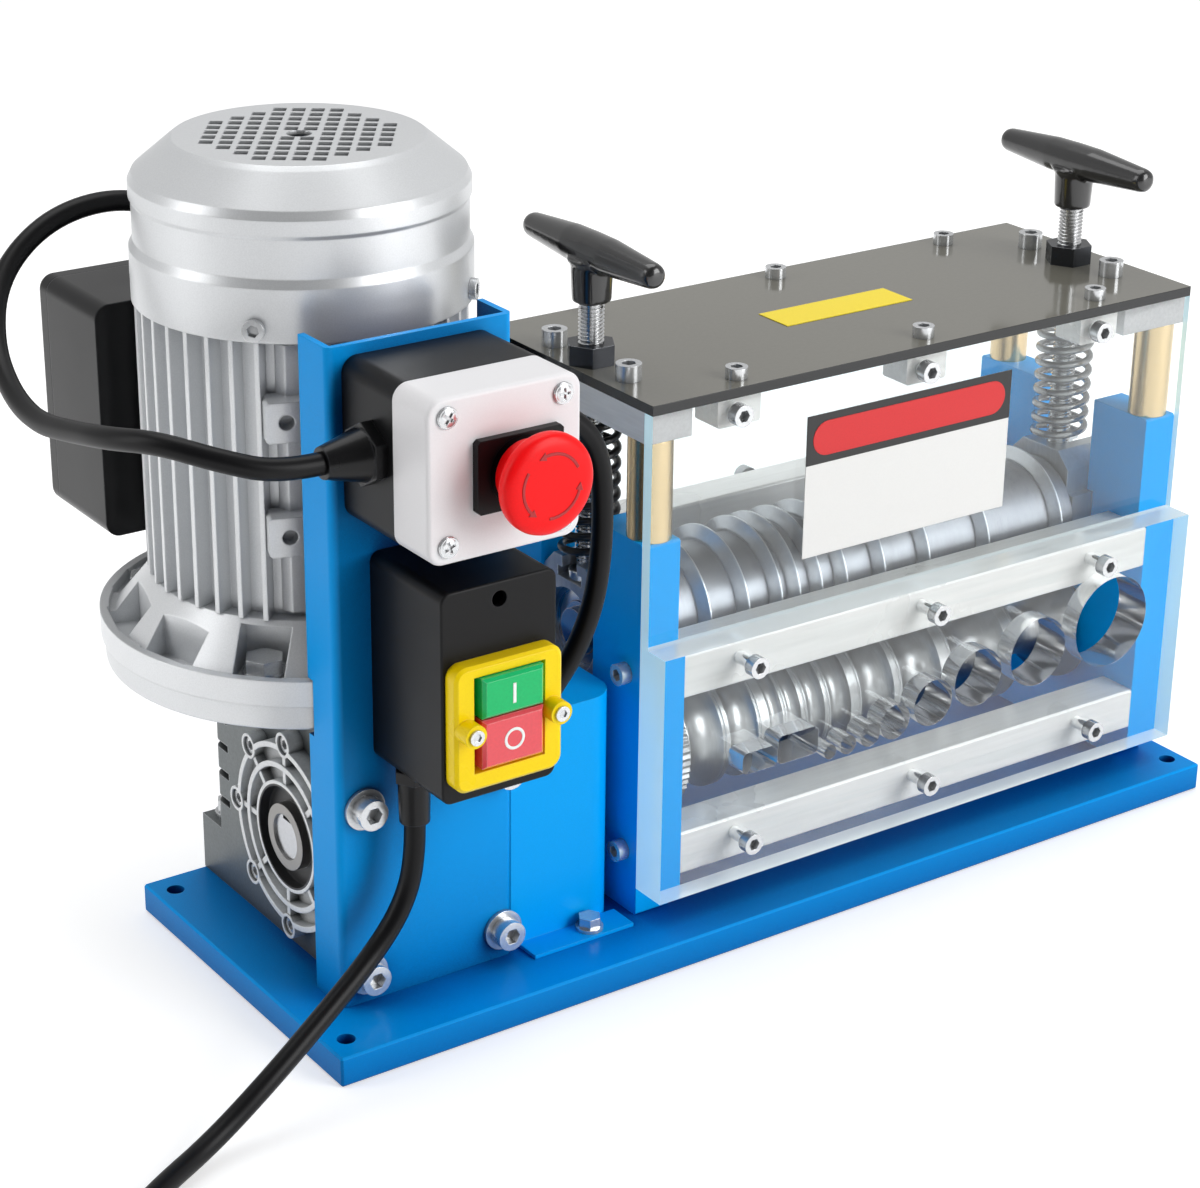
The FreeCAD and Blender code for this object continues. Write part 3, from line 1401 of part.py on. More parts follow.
def mains_plug():
    """Plain round-pin plug lying past the end of the coil: strain relief, body and two pins."""
    ahead = coil_frame()[2]
    start = coil_end()
    root = lead_diameter / 2
    profile = [(0, 0), (root + 1, 0), (root + 2.5, plug_relief), (plug_radius - 3, plug_relief + 2),
               (plug_radius - 1, plug_relief + 12), (plug_radius - 1, plug_length - 4),
               (plug_radius, plug_length - 2),
               (plug_radius, plug_length), (0, plug_length)]
    body = turned(profile, (start.x, start.y, start.z), ahead)
    side = Vec(-ahead.y, ahead.x, 0) * plug_pin_half_spacing
    face = start + ahead * (plug_length - 3)
    pins = [rod(face + side * sign, ahead, plug_pin_length + 3, plug_pin_radius) for sign in (-0.85, 0.85)]
    return fused([body] + pins)


def gland(start, axis, length, wall, nut_flats, neck_radius):
    """Cable gland: a neck through the wall, a nut against it and a cap that tapers to its lead."""
    nut = prism(start, axis, gland_nut_length, nut_flats)
    cap_start = Vec(*start) + axis * gland_nut_length
    cap = Part.makeCone(nut_flats / 2 - 0.5, gland_mouth_radius, length - gland_nut_length, cap_start, axis)
    neck = rod(Vec(*start) - axis * wall, axis, wall, neck_radius)
    return fused([neck, nut, cap])


def cable_glands():
    """Every gland and strain relief, solid where its lead ends on its mouth."""
    motor_end = motor_lead_route[-1]
    left = gland((estop_x[0], motor_end[1], motor_end[2]), -ALONG_X, estop_x[0] - motor_end[0], estop_wall,
                 gland_flats, gland_neck_radius)
    link_start = link_lead_route[0]
    right = gland((estop_x[1], link_start[1], link_start[2]), ALONG_X, link_start[0] - estop_x[1], estop_wall,
                  gland_flats, gland_neck_radius)
    mains_start = mains_lead_route[0]
    down = gland((mains_start[0], mains_start[1], switch_z[0]), -ALONG_Z, switch_z[0] - mains_start[2],
                 switch_wall,
                 grommet_flats, grommet_neck_radius)
    return group([left, right, down, boot(link_lead_route[-1], link_lead_route[-2], switch_x[1]),
                  terminal_boot()])


def boot(mouth, before, wall_x):
    """Slanted moulded boot on a side wall that faces +X."""
    way = (Vec(*before) - Vec(*mouth)).normalize()
    length = 24.0
    body = Part.makeCone(8.0, lead_diameter / 2 + 1.2, length, Vec(*mouth) - way * length, way)
    beyond = box((wall_x - 60, wall_x), (mouth[1] - 30, mouth[1] + 30), (mouth[2] - 50, mouth[2] + 50))
    return body.cut(beyond)


def terminal_boot():
    """Slanted moulded boot on top of the terminal box."""
    mouth = Vec(*motor_lead_route[0])
    way = (Vec(*motor_lead_route[1]) - mouth).normalize()
    length = 34.0
    body = Part.makeCone(9.0, lead_diameter / 2 + 1.2, length, mouth - way * length, way)
    below = box((terminal_x[0], terminal_x[1]), terminal_y, (terminal_z[0], terminal_z[1]))
    return body.cut(below)


def socket_screws():
    """All the small screws with socket heads."""
    screws = (top_screws + bracket_screws + lower_guard_screws + rear_guard_screws + tie_screws()
              + cover_screws + fan_cover_screws + estop_screws + frame_screws + lid_screws + head_bolts)
    return group([screw.socket_head() for screw in screws])


def hex_bolts():
    """All the larger bolts with their washers: socket heads on the bracket, hexagon heads elsewhere."""
    bolts = [bolt.socket_head(washer_radius) for bolt in front_bolts]
    bolts.extend(bolt.hex_head(hex_bolt_flats, washer_radius) for bolt in flange_bolts)
    bolts.extend(bolt.hex_head(foot_bolt_flats, foot_washer_radius) for bolt in [foot_bolt] + gear_foot_bolts)
    return group(bolts)


def lock_nuts():
    """Nuts on the top plate, one round each adjusting screw."""
    nuts = []
    for x in (left_screw_x, right_screw_x):
        nut = prism((x, roller_y, top_z), ALONG_Z, nut_height, nut_across_flats)
        nuts.append(nut.cut(rod((x, roller_y, top_z), ALONG_Z, nut_height, screw_radius + running_gap)))
    return group(nuts)


def adjusting_screw(x):
    """Threaded rod, with the collar that lifts its bearing block."""
    top = top_z + nut_height + handle_gap + hub_grip_depth
    shank = rod((x, roller_y, collar_z), ALONG_Z, top - collar_z, screw_radius)
    collar = rod((x, roller_y, collar_z), ALONG_Z, screw_collar_height, screw_collar_radius)
    return fused([shank, collar])


def t_handle(x, turn):
    """Tapered cross bar on a hub, blind bored for the screw."""
    hub_bottom = top_z + nut_height + handle_gap
    bar_z = hub_bottom + hub_height + handle_mid_radius - 1.5
    half = handle_length / 2
    bar = turned([(0, -half), (handle_end_radius - handle_tip_round, -half),
                  (handle_end_radius, -half + handle_tip_round),
                  (handle_mid_radius, -10), (handle_mid_radius, 10),
                  (handle_end_radius, half - handle_tip_round),
                  (handle_end_radius - handle_tip_round, half), (0, half)], (x, roller_y, bar_z), ALONG_Y)
    hub = Part.makeCone(hub_radius - 1, hub_radius, hub_height + 3, Vec(x, roller_y, hub_bottom), ALONG_Z)
    body = fused([turn_about(bar, (x, roller_y, bar_z), ALONG_Z, -turn), hub])
    return body.cut(rod((x, roller_y, hub_bottom), ALONG_Z, hub_grip_depth, screw_radius))


def block_x_ranges():
    """Where each bearing block begins and ends along X, and which end faces the rollers."""
    left = (left_outer_x + block_outer_inset, left_inner_x + left_block_overhang)
    right = (right_inner_x - right_block_overhang, right_outer_x - block_outer_inset)
    return [(left, (left_inner_x + sliding_gap, left[1]), left_screw_x, left_outer_x),
            (right, (right[0], right_inner_x - sliding_gap), right_screw_x, right_outer_x)]


def bearing_block(x_range, lip_range, screw_x, outer_x):
    """Sliding block: bore for the upper bearing, pocket for the screw's collar, lip inside the stand."""
    half = slot_width / 2 - sliding_gap
    block = box(x_range, (roller_y - half, roller_y + half), (block_bottom_z, block_top_z))
    top = [edge for edge in edges_along(block, ALONG_X) if edge.CenterOfMass.z > block_top_z - 1]
    block = block.makeChamfer(block_chamfer, top)
    lip = box(lip_range, (roller_y - half - block_lip, roller_y + half + block_lip),
              (block_bottom_z, upper_axis_z + 12))
    bore = rod((x_range[0], roller_y, upper_axis_z), ALONG_X, x_range[1] - x_range[0], upper_bearing_radius)
    pocket_z = (collar_z - hole_gap, collar_z + screw_collar_height + hole_gap)
    reach = screw_collar_radius + hole_gap
    pocket_x = sorted((outer_x, screw_x))
    pocket = fused([box(pocket_x, (roller_y - reach, roller_y + reach), pocket_z),
                    rod((screw_x, roller_y, pocket_z[0]), ALONG_Z, pocket_z[1] - pocket_z[0], reach)])
    neck = screw_radius + hole_gap
    gate = fused([box(pocket_x, (roller_y - neck, roller_y + neck), (collar_z, block_top_z)),
                  rod((screw_x, roller_y, collar_z), ALONG_Z, block_top_z - collar_z, neck)])
    return fused([block, lip]).cut([bore, pocket, gate])


def bearing_blocks():
    """The two sliding blocks of the cutter roller."""
    return group([bearing_block(*ranges) for ranges in block_x_ranges()])


def upper_bearings():
    """Bearings of the cutter roller in the sliding blocks."""
    races = []
    for x_range, _, _, _ in block_x_ranges():
        start = (sum(x_range) / 2 - upper_bearing_width / 2, roller_y, upper_axis_z)
        races.append(bearing(start, ALONG_X, upper_bearing_radius, upper_journal, upper_bearing_width))
    return group(races)


def upper_roller_ends():
    """Where the cutter roller's stack begins and ends."""
    left, right = block_x_ranges()
    return left[0][1] + 1.0, right[0][0] - 1.0


def upper_shaft():
    """Shaft of the cutter roller with thinner journals."""
    left, right = block_x_ranges()
    start = left[0][0] + shaft_end_margin
    end = right[0][1] - shaft_end_margin
    stack = upper_roller_ends()
    journal = rod((start, roller_y, upper_axis_z), ALONG_X, end - start, upper_journal)
    body = rod((stack[0], roller_y, upper_axis_z), ALONG_X, stack[1] - stack[0], blade_bore)
    return fused([journal, body])


def cutter_blades():
    """Ring blades, bevelled on both sides, one over each wire hole."""
    half = blade_thick / 2
    edge = blade_edge / 2
    profile = [(blade_bore, -half), (blade_radius - blade_bevel, -half), (blade_radius, -edge),
               (blade_radius, edge),
               (blade_radius - blade_bevel, half), (blade_bore, half)]
    return group([turned(profile, (x, roller_y, upper_axis_z), ALONG_X) for x in stations])


def blade_spacers():
    """Sleeves between the blades, and a feed ring over the knurled wheels."""
    start, end = upper_roller_ends()
    limits = [start] + [x + side * blade_thick / 2 for x in stations for side in (-1, 1)] + [end]
    sleeves = []
    for low, high in zip(limits[::2], limits[1::2]):
        sleeves.append(ring((low, roller_y, upper_axis_z), ALONG_X, high - low, spacer_radius, blade_bore))
    return group(sleeves)


def lower_shaft():
    """Drive stub from the gearbox and the roller's own shaft, joined in the coupling."""
    meet_x = (left_outer_x + drive_x + gearbox_half_width) / 2
    stub_start = drive_x - gearbox_half_width - outer_cover_thick + 1
    stub = rod((stub_start, roller_y, lower_axis_z), ALONG_X, meet_x - stub_start, lower_journal - 1)
    stub = stub.cut(box((stub_start, drive_x), (roller_y - 3, roller_y + 3),
                        (lower_axis_z + lower_journal - 3.5, lower_axis_z + lower_journal)))
    end = right_outer_x - shaft_end_margin / 2
    shaft = rod((meet_x, roller_y, lower_axis_z), ALONG_X, end - meet_x, lower_journal)
    return group([stub, shaft])


def shaft_coupling():
    """Sleeve coupling clamped on both shafts."""
    meet_x = (left_outer_x + drive_x + gearbox_half_width) / 2
    half = 17.0
    sleeve = rod((meet_x - half, roller_y, lower_axis_z), ALONG_X, 2 * half, 19.0)
    sleeve = sleeve.makeChamfer(1.0, sleeve.Edges[0:1] + sleeve.Edges[2:3])
    bores = [rod((meet_x - half, roller_y, lower_axis_z), ALONG_X, half, lower_journal - 1),
             rod((meet_x, roller_y, lower_axis_z), ALONG_X, half, lower_journal)]
    screws = [rod((meet_x + side * 9, roller_y, lower_axis_z + 14), ALONG_Z, 6, 2.5) for side in (-1, 1)]
    return sleeve.cut(bores + screws)


def grooved_wheel(low, high, centre_x, hole_width):
    """Feed wheel with a round groove under one blade, deeper for a thicker wire."""
    depth = groove_base_depth + groove_depth_per_hole * hole_width
    left = centre_x - low
    right = high - centre_x
    half = min(left, right) - groove_land
    middle = centre_x - low
    floor = ridge_radius - depth
    start = Vec(ridge_radius, 0, middle - half)
    end = Vec(ridge_radius, 0, middle + half)
    width = high - low
    chamfer = 0.4
    edges = [Part.LineSegment(Vec(lower_journal, 0, 0), Vec(ridge_radius - chamfer, 0, 0)),
             Part.LineSegment(Vec(ridge_radius - chamfer, 0, 0), Vec(ridge_radius, 0, chamfer)),
             Part.LineSegment(Vec(ridge_radius, 0, chamfer), start),
             Part.Arc(start, Vec(floor, 0, middle), end),
             Part.LineSegment(end, Vec(ridge_radius, 0, width - chamfer)),
             Part.LineSegment(Vec(ridge_radius, 0, width - chamfer), Vec(ridge_radius - chamfer, 0, width)),
             Part.LineSegment(Vec(ridge_radius - chamfer, 0, width), Vec(lower_journal, 0, width)),
             Part.LineSegment(Vec(lower_journal, 0, width), Vec(lower_journal, 0, 0))]
    wire = Part.Wire([edge.toShape() for edge in edges])
    wheel = Part.Face(wire).revolve(Vec(0, 0, 0), ALONG_Z, 360)
    wheel.Placement = FreeCAD.Placement(Vec(low, roller_y, lower_axis_z), FreeCAD.Rotation(ALONG_Z, ALONG_X))
    return wheel


def knurled_wheel(low):
    """Feed wheel with a serrated rim."""
    points = []
    for index in range(knurl_count):
        angle = 2 * math.pi * index / knurl_count
        valley = 2 * math.pi * (index + 0.5) / knurl_count
        points.append(Vec(knurl_radius * math.cos(angle), knurl_radius * math.sin(angle), 0))
        inner = knurl_radius - knurl_depth
        points.append(Vec(inner * math.cos(valley), inner * math.sin(valley), 0))
    wheel = Part.Face(Part.makePolygon(points + points[:1])).extrude(Vec(0, 0, knurl_wheel_width - 1))
    hub = rod((0, 0, 0), ALONG_Z, knurl_wheel_width, knurl_radius - 3)
    wheel = fused([wheel, hub]).cut(rod((0, 0, 0), ALONG_Z, knurl_wheel_width, lower_journal))
    wheel.Placement = FreeCAD.Placement(Vec(low, roller_y, lower_axis_z), FreeCAD.Rotation(ALONG_Z, ALONG_X))
    return wheel


def feed_wheels():
    """All the wheels of the lower roller, side by side."""
    wheels = [knurled_wheel(roller_left_x + index * knurl_wheel_width) for index in range(knurl_wheels)]
    limits = [roller_left_x + knurl_wheels * knurl_wheel_width]
    limits += [(a + b) / 2 for a, b in zip(stations, stations[1:])] + [roller_right_x]
    for low, high, x, width in zip(limits, limits[1:], stations, station_widths):
        wheels.append(grooved_wheel(low, high, x, width))
    return group(wheels)


def worm_wheel():
    """Bronze wheel on its hub, toothed on the rim at the worm's lead angle."""
    pitch_radius = gear_module * wheel_teeth / 2
    tip = pitch_radius + tooth_addendum
    root = pitch_radius - tooth_dedendum
    start = (drive_x - wheel_face / 2, roller_y, lower_axis_z)
    rim = rod(start, ALONG_X, wheel_face, root)
    hub_start = (drive_x - gearbox_half_width - outer_cover_thick, roller_y, lower_axis_z)
    hub_length = outer_cover_thick + 2 * gearbox_half_width + inner_cover_thick
    hub = rod(hub_start, ALONG_X, hub_length, wheel_hub_radius)
    tooth_width = math.pi * gear_module / 2 - mesh_backlash
    slope = math.tan(math.radians(20))
    low_half = tooth_width / 2 + tooth_dedendum * slope
    tip_half = tooth_width / 2 - tooth_addendum * slope
    outline = [Vec(0, root - 0.5, -low_half), Vec(0, root, -low_half), Vec(0, tip, -tip_half),
               Vec(0, tip, tip_half),
               Vec(0, root, low_half), Vec(0, root - 0.5, low_half)]
    tooth = Part.Face(Part.makePolygon(outline + outline[:1])).extrude(Vec(wheel_face, 0, 0))
    tooth.translate(Vec(-wheel_face / 2, 0, 0))
    lead_angle = math.degrees(math.atan(worm_starts * gear_module / (2 * worm_pitch_radius)))
    tooth.rotate(Vec(0, 0, 0), ALONG_Y, -lead_angle)
    teeth = []
    for index in range(wheel_teeth):
        copy = turn_about(tooth, (0, 0, 0), ALONG_X, 360.0 * (index + 0.5) / wheel_teeth)
        copy.translate(Vec(drive_x, roller_y, lower_axis_z))
        teeth.append(copy)
    return fused([rim, hub] + teeth).cut(rod(hub_start, ALONG_X, hub_length, lower_journal - 1))


def worm_shaft():
    """Upright worm with its thread, hollow at the top for the motor's nose."""
    tip = worm_pitch_radius + tooth_addendum
    core = worm_pitch_radius - tooth_dedendum
    top = flange_top_z + shaft_socket_rise
    shank = rod((drive_x, worm_y, worm_bottom_z + sliding_gap), ALONG_Z, top - worm_bottom_z - sliding_gap,
                core)
    lead = math.pi * gear_module * worm_starts
    half_pitch = math.pi * gear_module / 2
    slope = math.tan(math.radians(20))
    width = half_pitch - mesh_backlash
    base_half = width / 2 + tooth_dedendum * slope
    tip_half = width / 2 - tooth_addendum * slope
    start_z = lower_axis_z - worm_length / 2
    threads = []
    for start in range(worm_starts):
        helix = Part.makeHelix(lead, worm_length, worm_pitch_radius)
        outline = Part.makePolygon([Vec(core - 0.3, 0, -base_half), Vec(tip, 0, -tip_half),
                                    Vec(tip, 0, tip_half),
                                    Vec(core - 0.3, 0, base_half), Vec(core - 0.3, 0, -base_half)])
        thread = Part.Wire(helix).makePipeShell([outline], True, True)
        thread.rotate(Vec(0, 0, 0), ALONG_Z, 360.0 * start / worm_starts)
        thread.translate(Vec(drive_x, worm_y, start_z))
        threads.append(thread)
    nose = rod((drive_x, worm_y, top - motor_nose_length), ALONG_Z, motor_nose_length, motor_nose_radius)
    return fused([shank] + threads).cut(nose)


def rotor():
    """Rotor core on the motor shaft, from the worm's bore up to the fan."""
    shoulder_z = flange_top_z + shaft_socket_rise
    core_bottom = housing_bottom_z + core_lift
    shapes = [rod((drive_x, worm_y, shoulder_z - motor_nose_length), ALONG_Z, motor_nose_length,
                  motor_nose_radius),
              rod((drive_x, worm_y, shoulder_z), ALONG_Z, housing_top_z + shaft_rise - shoulder_z,
                  motor_shaft_radius),
              rod((drive_x, worm_y, core_bottom), ALONG_Z, core_height, rotor_radius)]
    return fused(shapes)


def cooling_fan():
    """Radial fan on the shaft's end under the fan cover."""
    bottom = housing_top_z + 8
    hub = rod((drive_x, worm_y, bottom), ALONG_Z, fan_blade_height + 4, fan_hub_radius)
    disc = rod((drive_x, worm_y, bottom), ALONG_Z, fan_blade_thick, fan_radius)
    blade = box((drive_x + fan_hub_radius - 1, drive_x + fan_radius), (worm_y - fan_blade_thick / 2,
                worm_y + fan_blade_thick / 2), (bottom, bottom + fan_blade_height))
    blades = [turn_about(blade, (drive_x, worm_y, bottom), ALONG_Z, 360.0 * index / fan_blades)
              for index in range(fan_blades)]
    return fused([hub, disc] + blades).cut(rod((drive_x, worm_y, bottom), ALONG_Z, fan_blade_height + 4,
                                               motor_shaft_radius))


nodes = {
    "base_plate": base_plate,
    "left_stand": lambda: stand((left_outer_x, left_inner_x)),
    "right_stand": lambda: stand((right_inner_x, right_outer_x)),
    "tie_bars": tie_bars,
    "head_beams": head_beams,
    "head_columns": head_columns,
    "top_plate": top_plate,
    "guard_brackets": guard_brackets,
    "front_upper_guard": front_upper_guard,
    "front_lower_guard": front_lower_guard,
    "rear_guard": rear_guard,
    "blank_labels": blank_labels,
    "shaft_bearings": shaft_bearings,
    "gearbox_housing": gearbox_housing,
    "gearbox_covers": gearbox_covers,
    "input_flange": input_flange,
    "motor_shield": motor_shield,
    "motor_housing": motor_housing,
    "motor_stator": motor_stator,
    "fan_cover": fan_cover,
    "terminal_box": terminal_box,
    "terminal_box_lid": terminal_box_lid,
    "capacitor": capacitor,
    "control_bracket": control_bracket,
    "coupling_guard": coupling_guard,
    "estop_base": estop_base,
    "estop_cover": estop_cover,
    "contact_blocks": contact_blocks,
    "cable_glands": cable_glands,
    "switch_box": switch_box,
    "switch_frame": switch_frame,
    "socket_screws": socket_screws,
    "hex_bolts": hex_bolts,
    "lock_nuts": lock_nuts,
    "motor_lead": motor_lead,
    "link_lead": link_lead,
    "mains_lead": mains_lead,
    "mains_coil": mains_coil,
    "mains_plug": mains_plug,
    "bearing_blocks": bearing_blocks,
    "upper_bearings": upper_bearings,
    "upper_shaft": upper_shaft,
    "cutter_blades": cutter_blades,
    "blade_spacers": blade_spacers,
    "adjusting_screw_left": lambda: adjusting_screw(left_screw_x),
    "adjusting_screw_right": lambda: adjusting_screw(right_screw_x),
    "t_handle_left": lambda: t_handle(left_screw_x, left_handle_turn),
    "t_handle_right": lambda: t_handle(right_screw_x, right_handle_turn),
    "pressure_springs": pressure_springs,
    "lower_shaft": lower_shaft,
    "feed_wheels": feed_wheels,
    "shaft_coupling": shaft_coupling,
    "worm_wheel": worm_wheel,
    "worm_shaft": worm_shaft,
    "rotor": rotor,
    "cooling_fan": cooling_fan,
    "estop_stem": estop_stem,
    "estop_button": estop_button,
    "start_button": start_button,
    "stop_button": stop_button,
}

os.makedirs("parts", exist_ok=True)
for node, make in nodes.items():
    shape = make()
    print(node, "solids", len(shape.Solids), "volume", round(shape.Volume), "valid", shape.isValid())
    shape.exportStep(f"parts/{node}.step")
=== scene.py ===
"""Looks of a bench wire stripping machine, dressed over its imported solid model.

Metres, in the model's own frame: X runs from the motor to the stripping head, -Y is the feeding
side and +Z is up. Each sub-assembly is a class that models its own pieces and finishes them.
"""
from __future__ import annotations

import json
import logging
import math
from dataclasses import dataclass, field
from enum import Enum

import bpy
from mathutils import Matrix, Vector

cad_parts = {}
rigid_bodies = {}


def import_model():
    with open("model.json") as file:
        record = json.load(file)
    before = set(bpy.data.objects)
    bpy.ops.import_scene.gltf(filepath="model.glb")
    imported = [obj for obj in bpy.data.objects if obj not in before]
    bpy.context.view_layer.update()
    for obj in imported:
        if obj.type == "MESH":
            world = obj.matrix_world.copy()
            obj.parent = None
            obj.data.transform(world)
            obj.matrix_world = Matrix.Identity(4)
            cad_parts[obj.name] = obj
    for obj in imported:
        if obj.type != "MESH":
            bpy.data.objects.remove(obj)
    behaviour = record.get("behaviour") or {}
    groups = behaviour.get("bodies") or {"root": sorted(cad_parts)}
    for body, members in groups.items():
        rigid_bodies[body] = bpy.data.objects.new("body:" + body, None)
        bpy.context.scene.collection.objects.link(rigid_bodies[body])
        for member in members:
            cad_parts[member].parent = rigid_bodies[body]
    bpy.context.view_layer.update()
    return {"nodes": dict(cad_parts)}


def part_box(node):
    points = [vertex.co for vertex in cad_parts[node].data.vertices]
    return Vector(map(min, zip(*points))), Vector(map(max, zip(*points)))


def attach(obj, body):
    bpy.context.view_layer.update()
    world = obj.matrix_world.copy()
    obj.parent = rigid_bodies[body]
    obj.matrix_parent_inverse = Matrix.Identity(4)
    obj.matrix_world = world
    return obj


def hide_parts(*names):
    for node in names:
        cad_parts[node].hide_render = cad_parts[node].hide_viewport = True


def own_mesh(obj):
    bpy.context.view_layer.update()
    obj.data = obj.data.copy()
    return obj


LOG = logging.getLogger("wire_stripper")
MM = 0.001
HEAD_MIDDLE_Y = -2.0 * MM
LOWER_AXIS = (HEAD_MIDDLE_Y, 62.0 * MM)
SMOOTH_BELOW = math.radians(32.0)
FACE_FRONT = Matrix.Rotation(math.radians(90.0), 4, "X")
WHITE = (1.0, 1.0, 1.0, 1.0)
Rgb = tuple[float, float, float]
Point = tuple[float, float, float]


def linear(colour: Rgb) -> tuple[float, float, float, float]:
    """Turn a display colour into the linear values that a shader socket takes.

    Args:
        colour: red, green and blue from 0 to 255.

    Returns:
        Linear red, green, blue and an alpha of 1.
    """
    parts = []
    for value in colour:
        share = value / 255.0
        parts.append(share / 12.92 if share <= 0.04045 else ((share + 0.055) / 1.055) ** 2.4)
    return (parts[0], parts[1], parts[2], 1.0)


class Graph:
    """Adds shader nodes to one tree and fills their inputs."""

    def __init__(self, tree: bpy.types.NodeTree) -> None:
        """Keep the tree that the nodes go into."""
        self.tree = tree

    def add(self, kind: str, takes: dict[str | int, object] | None = None,
            **settings: object) -> bpy.types.Node:
        """Add a node.

        Args:
            kind: the node's type name.
            takes: values or sockets for its inputs, by name or number.
            settings: properties to set on it.

        Returns:
            The new node.
        """
        node = self.tree.nodes.new(kind)
        for name, value in settings.items():
            setattr(node, name, value)
        self.fill(node, takes or {})
        return node

    def fill(self, node: bpy.types.Node, takes: dict[str | int, object]) -> None:
        """Give a node's inputs their links or plain values.

        Args:
            node: the node.
            takes: values or sockets for its inputs, by name or number.
        """
        for key, value in takes.items():
            if isinstance(value, bpy.types.NodeSocket):
                self.tree.links.new(value, node.inputs[key])
            else:
                node.inputs[key].default_value = value

    def math(self, operation: str, first: object, second: object = 0.0) -> bpy.types.NodeSocket:
        """Work out a value from two others.

        Args:
            operation: the Math node's operation.
            first: a socket or a number.
            second: a socket or a number.

        Returns:
            The result's socket.
        """
        return self.add("ShaderNodeMath", {0: first, 1: second}, operation=operation).outputs[0]

    def ramp(self, value: object, low: float, high: float, start: float,
             end: float) -> bpy.types.NodeSocket:
        """Carry a value from one range to another, held inside it.

        Args:
            value: a socket or a number.
            low: where the input range begins.
            high: where the input range ends.
            start: the result at its beginning.
            end: the result at its end.

        Returns:
            The result's socket.
        """
        takes = dict(enumerate((value, low, high, start, end)))
        return self.add("ShaderNodeMapRange", takes, clamp=True).outputs[0]

    def mix(self, share: object, first: object, second: object) -> bpy.types.NodeSocket:
        """Mix two colours.

        Args:
            share: how much of the second colour, from 0 to 1.
            first: a socket or a linear colour.
            second: a socket or a linear colour.

        Returns:
            The mixed colour's socket.
        """
        node = self.add("ShaderNodeMix", {"Factor": share}, data_type="RGBA")
        colours = [number for number, socket in enumerate(node.inputs) if socket.type == "RGBA"]
        self.fill(node, {colours[0]: first, colours[1]: second})
        return next(socket for socket in node.outputs if socket.type == "RGBA")


def blank_material(name: str) -> tuple[bpy.types.Material, Graph, bpy.types.Node]:
    """Start a material.

    Args:
        name: its name.

    Returns:
        The material, its graph and its main shader.
    """
    material = bpy.data.materials.new(name)
    material.use_nodes = True
    return material, Graph(material.node_tree), material.node_tree.nodes["Principled BSDF"]


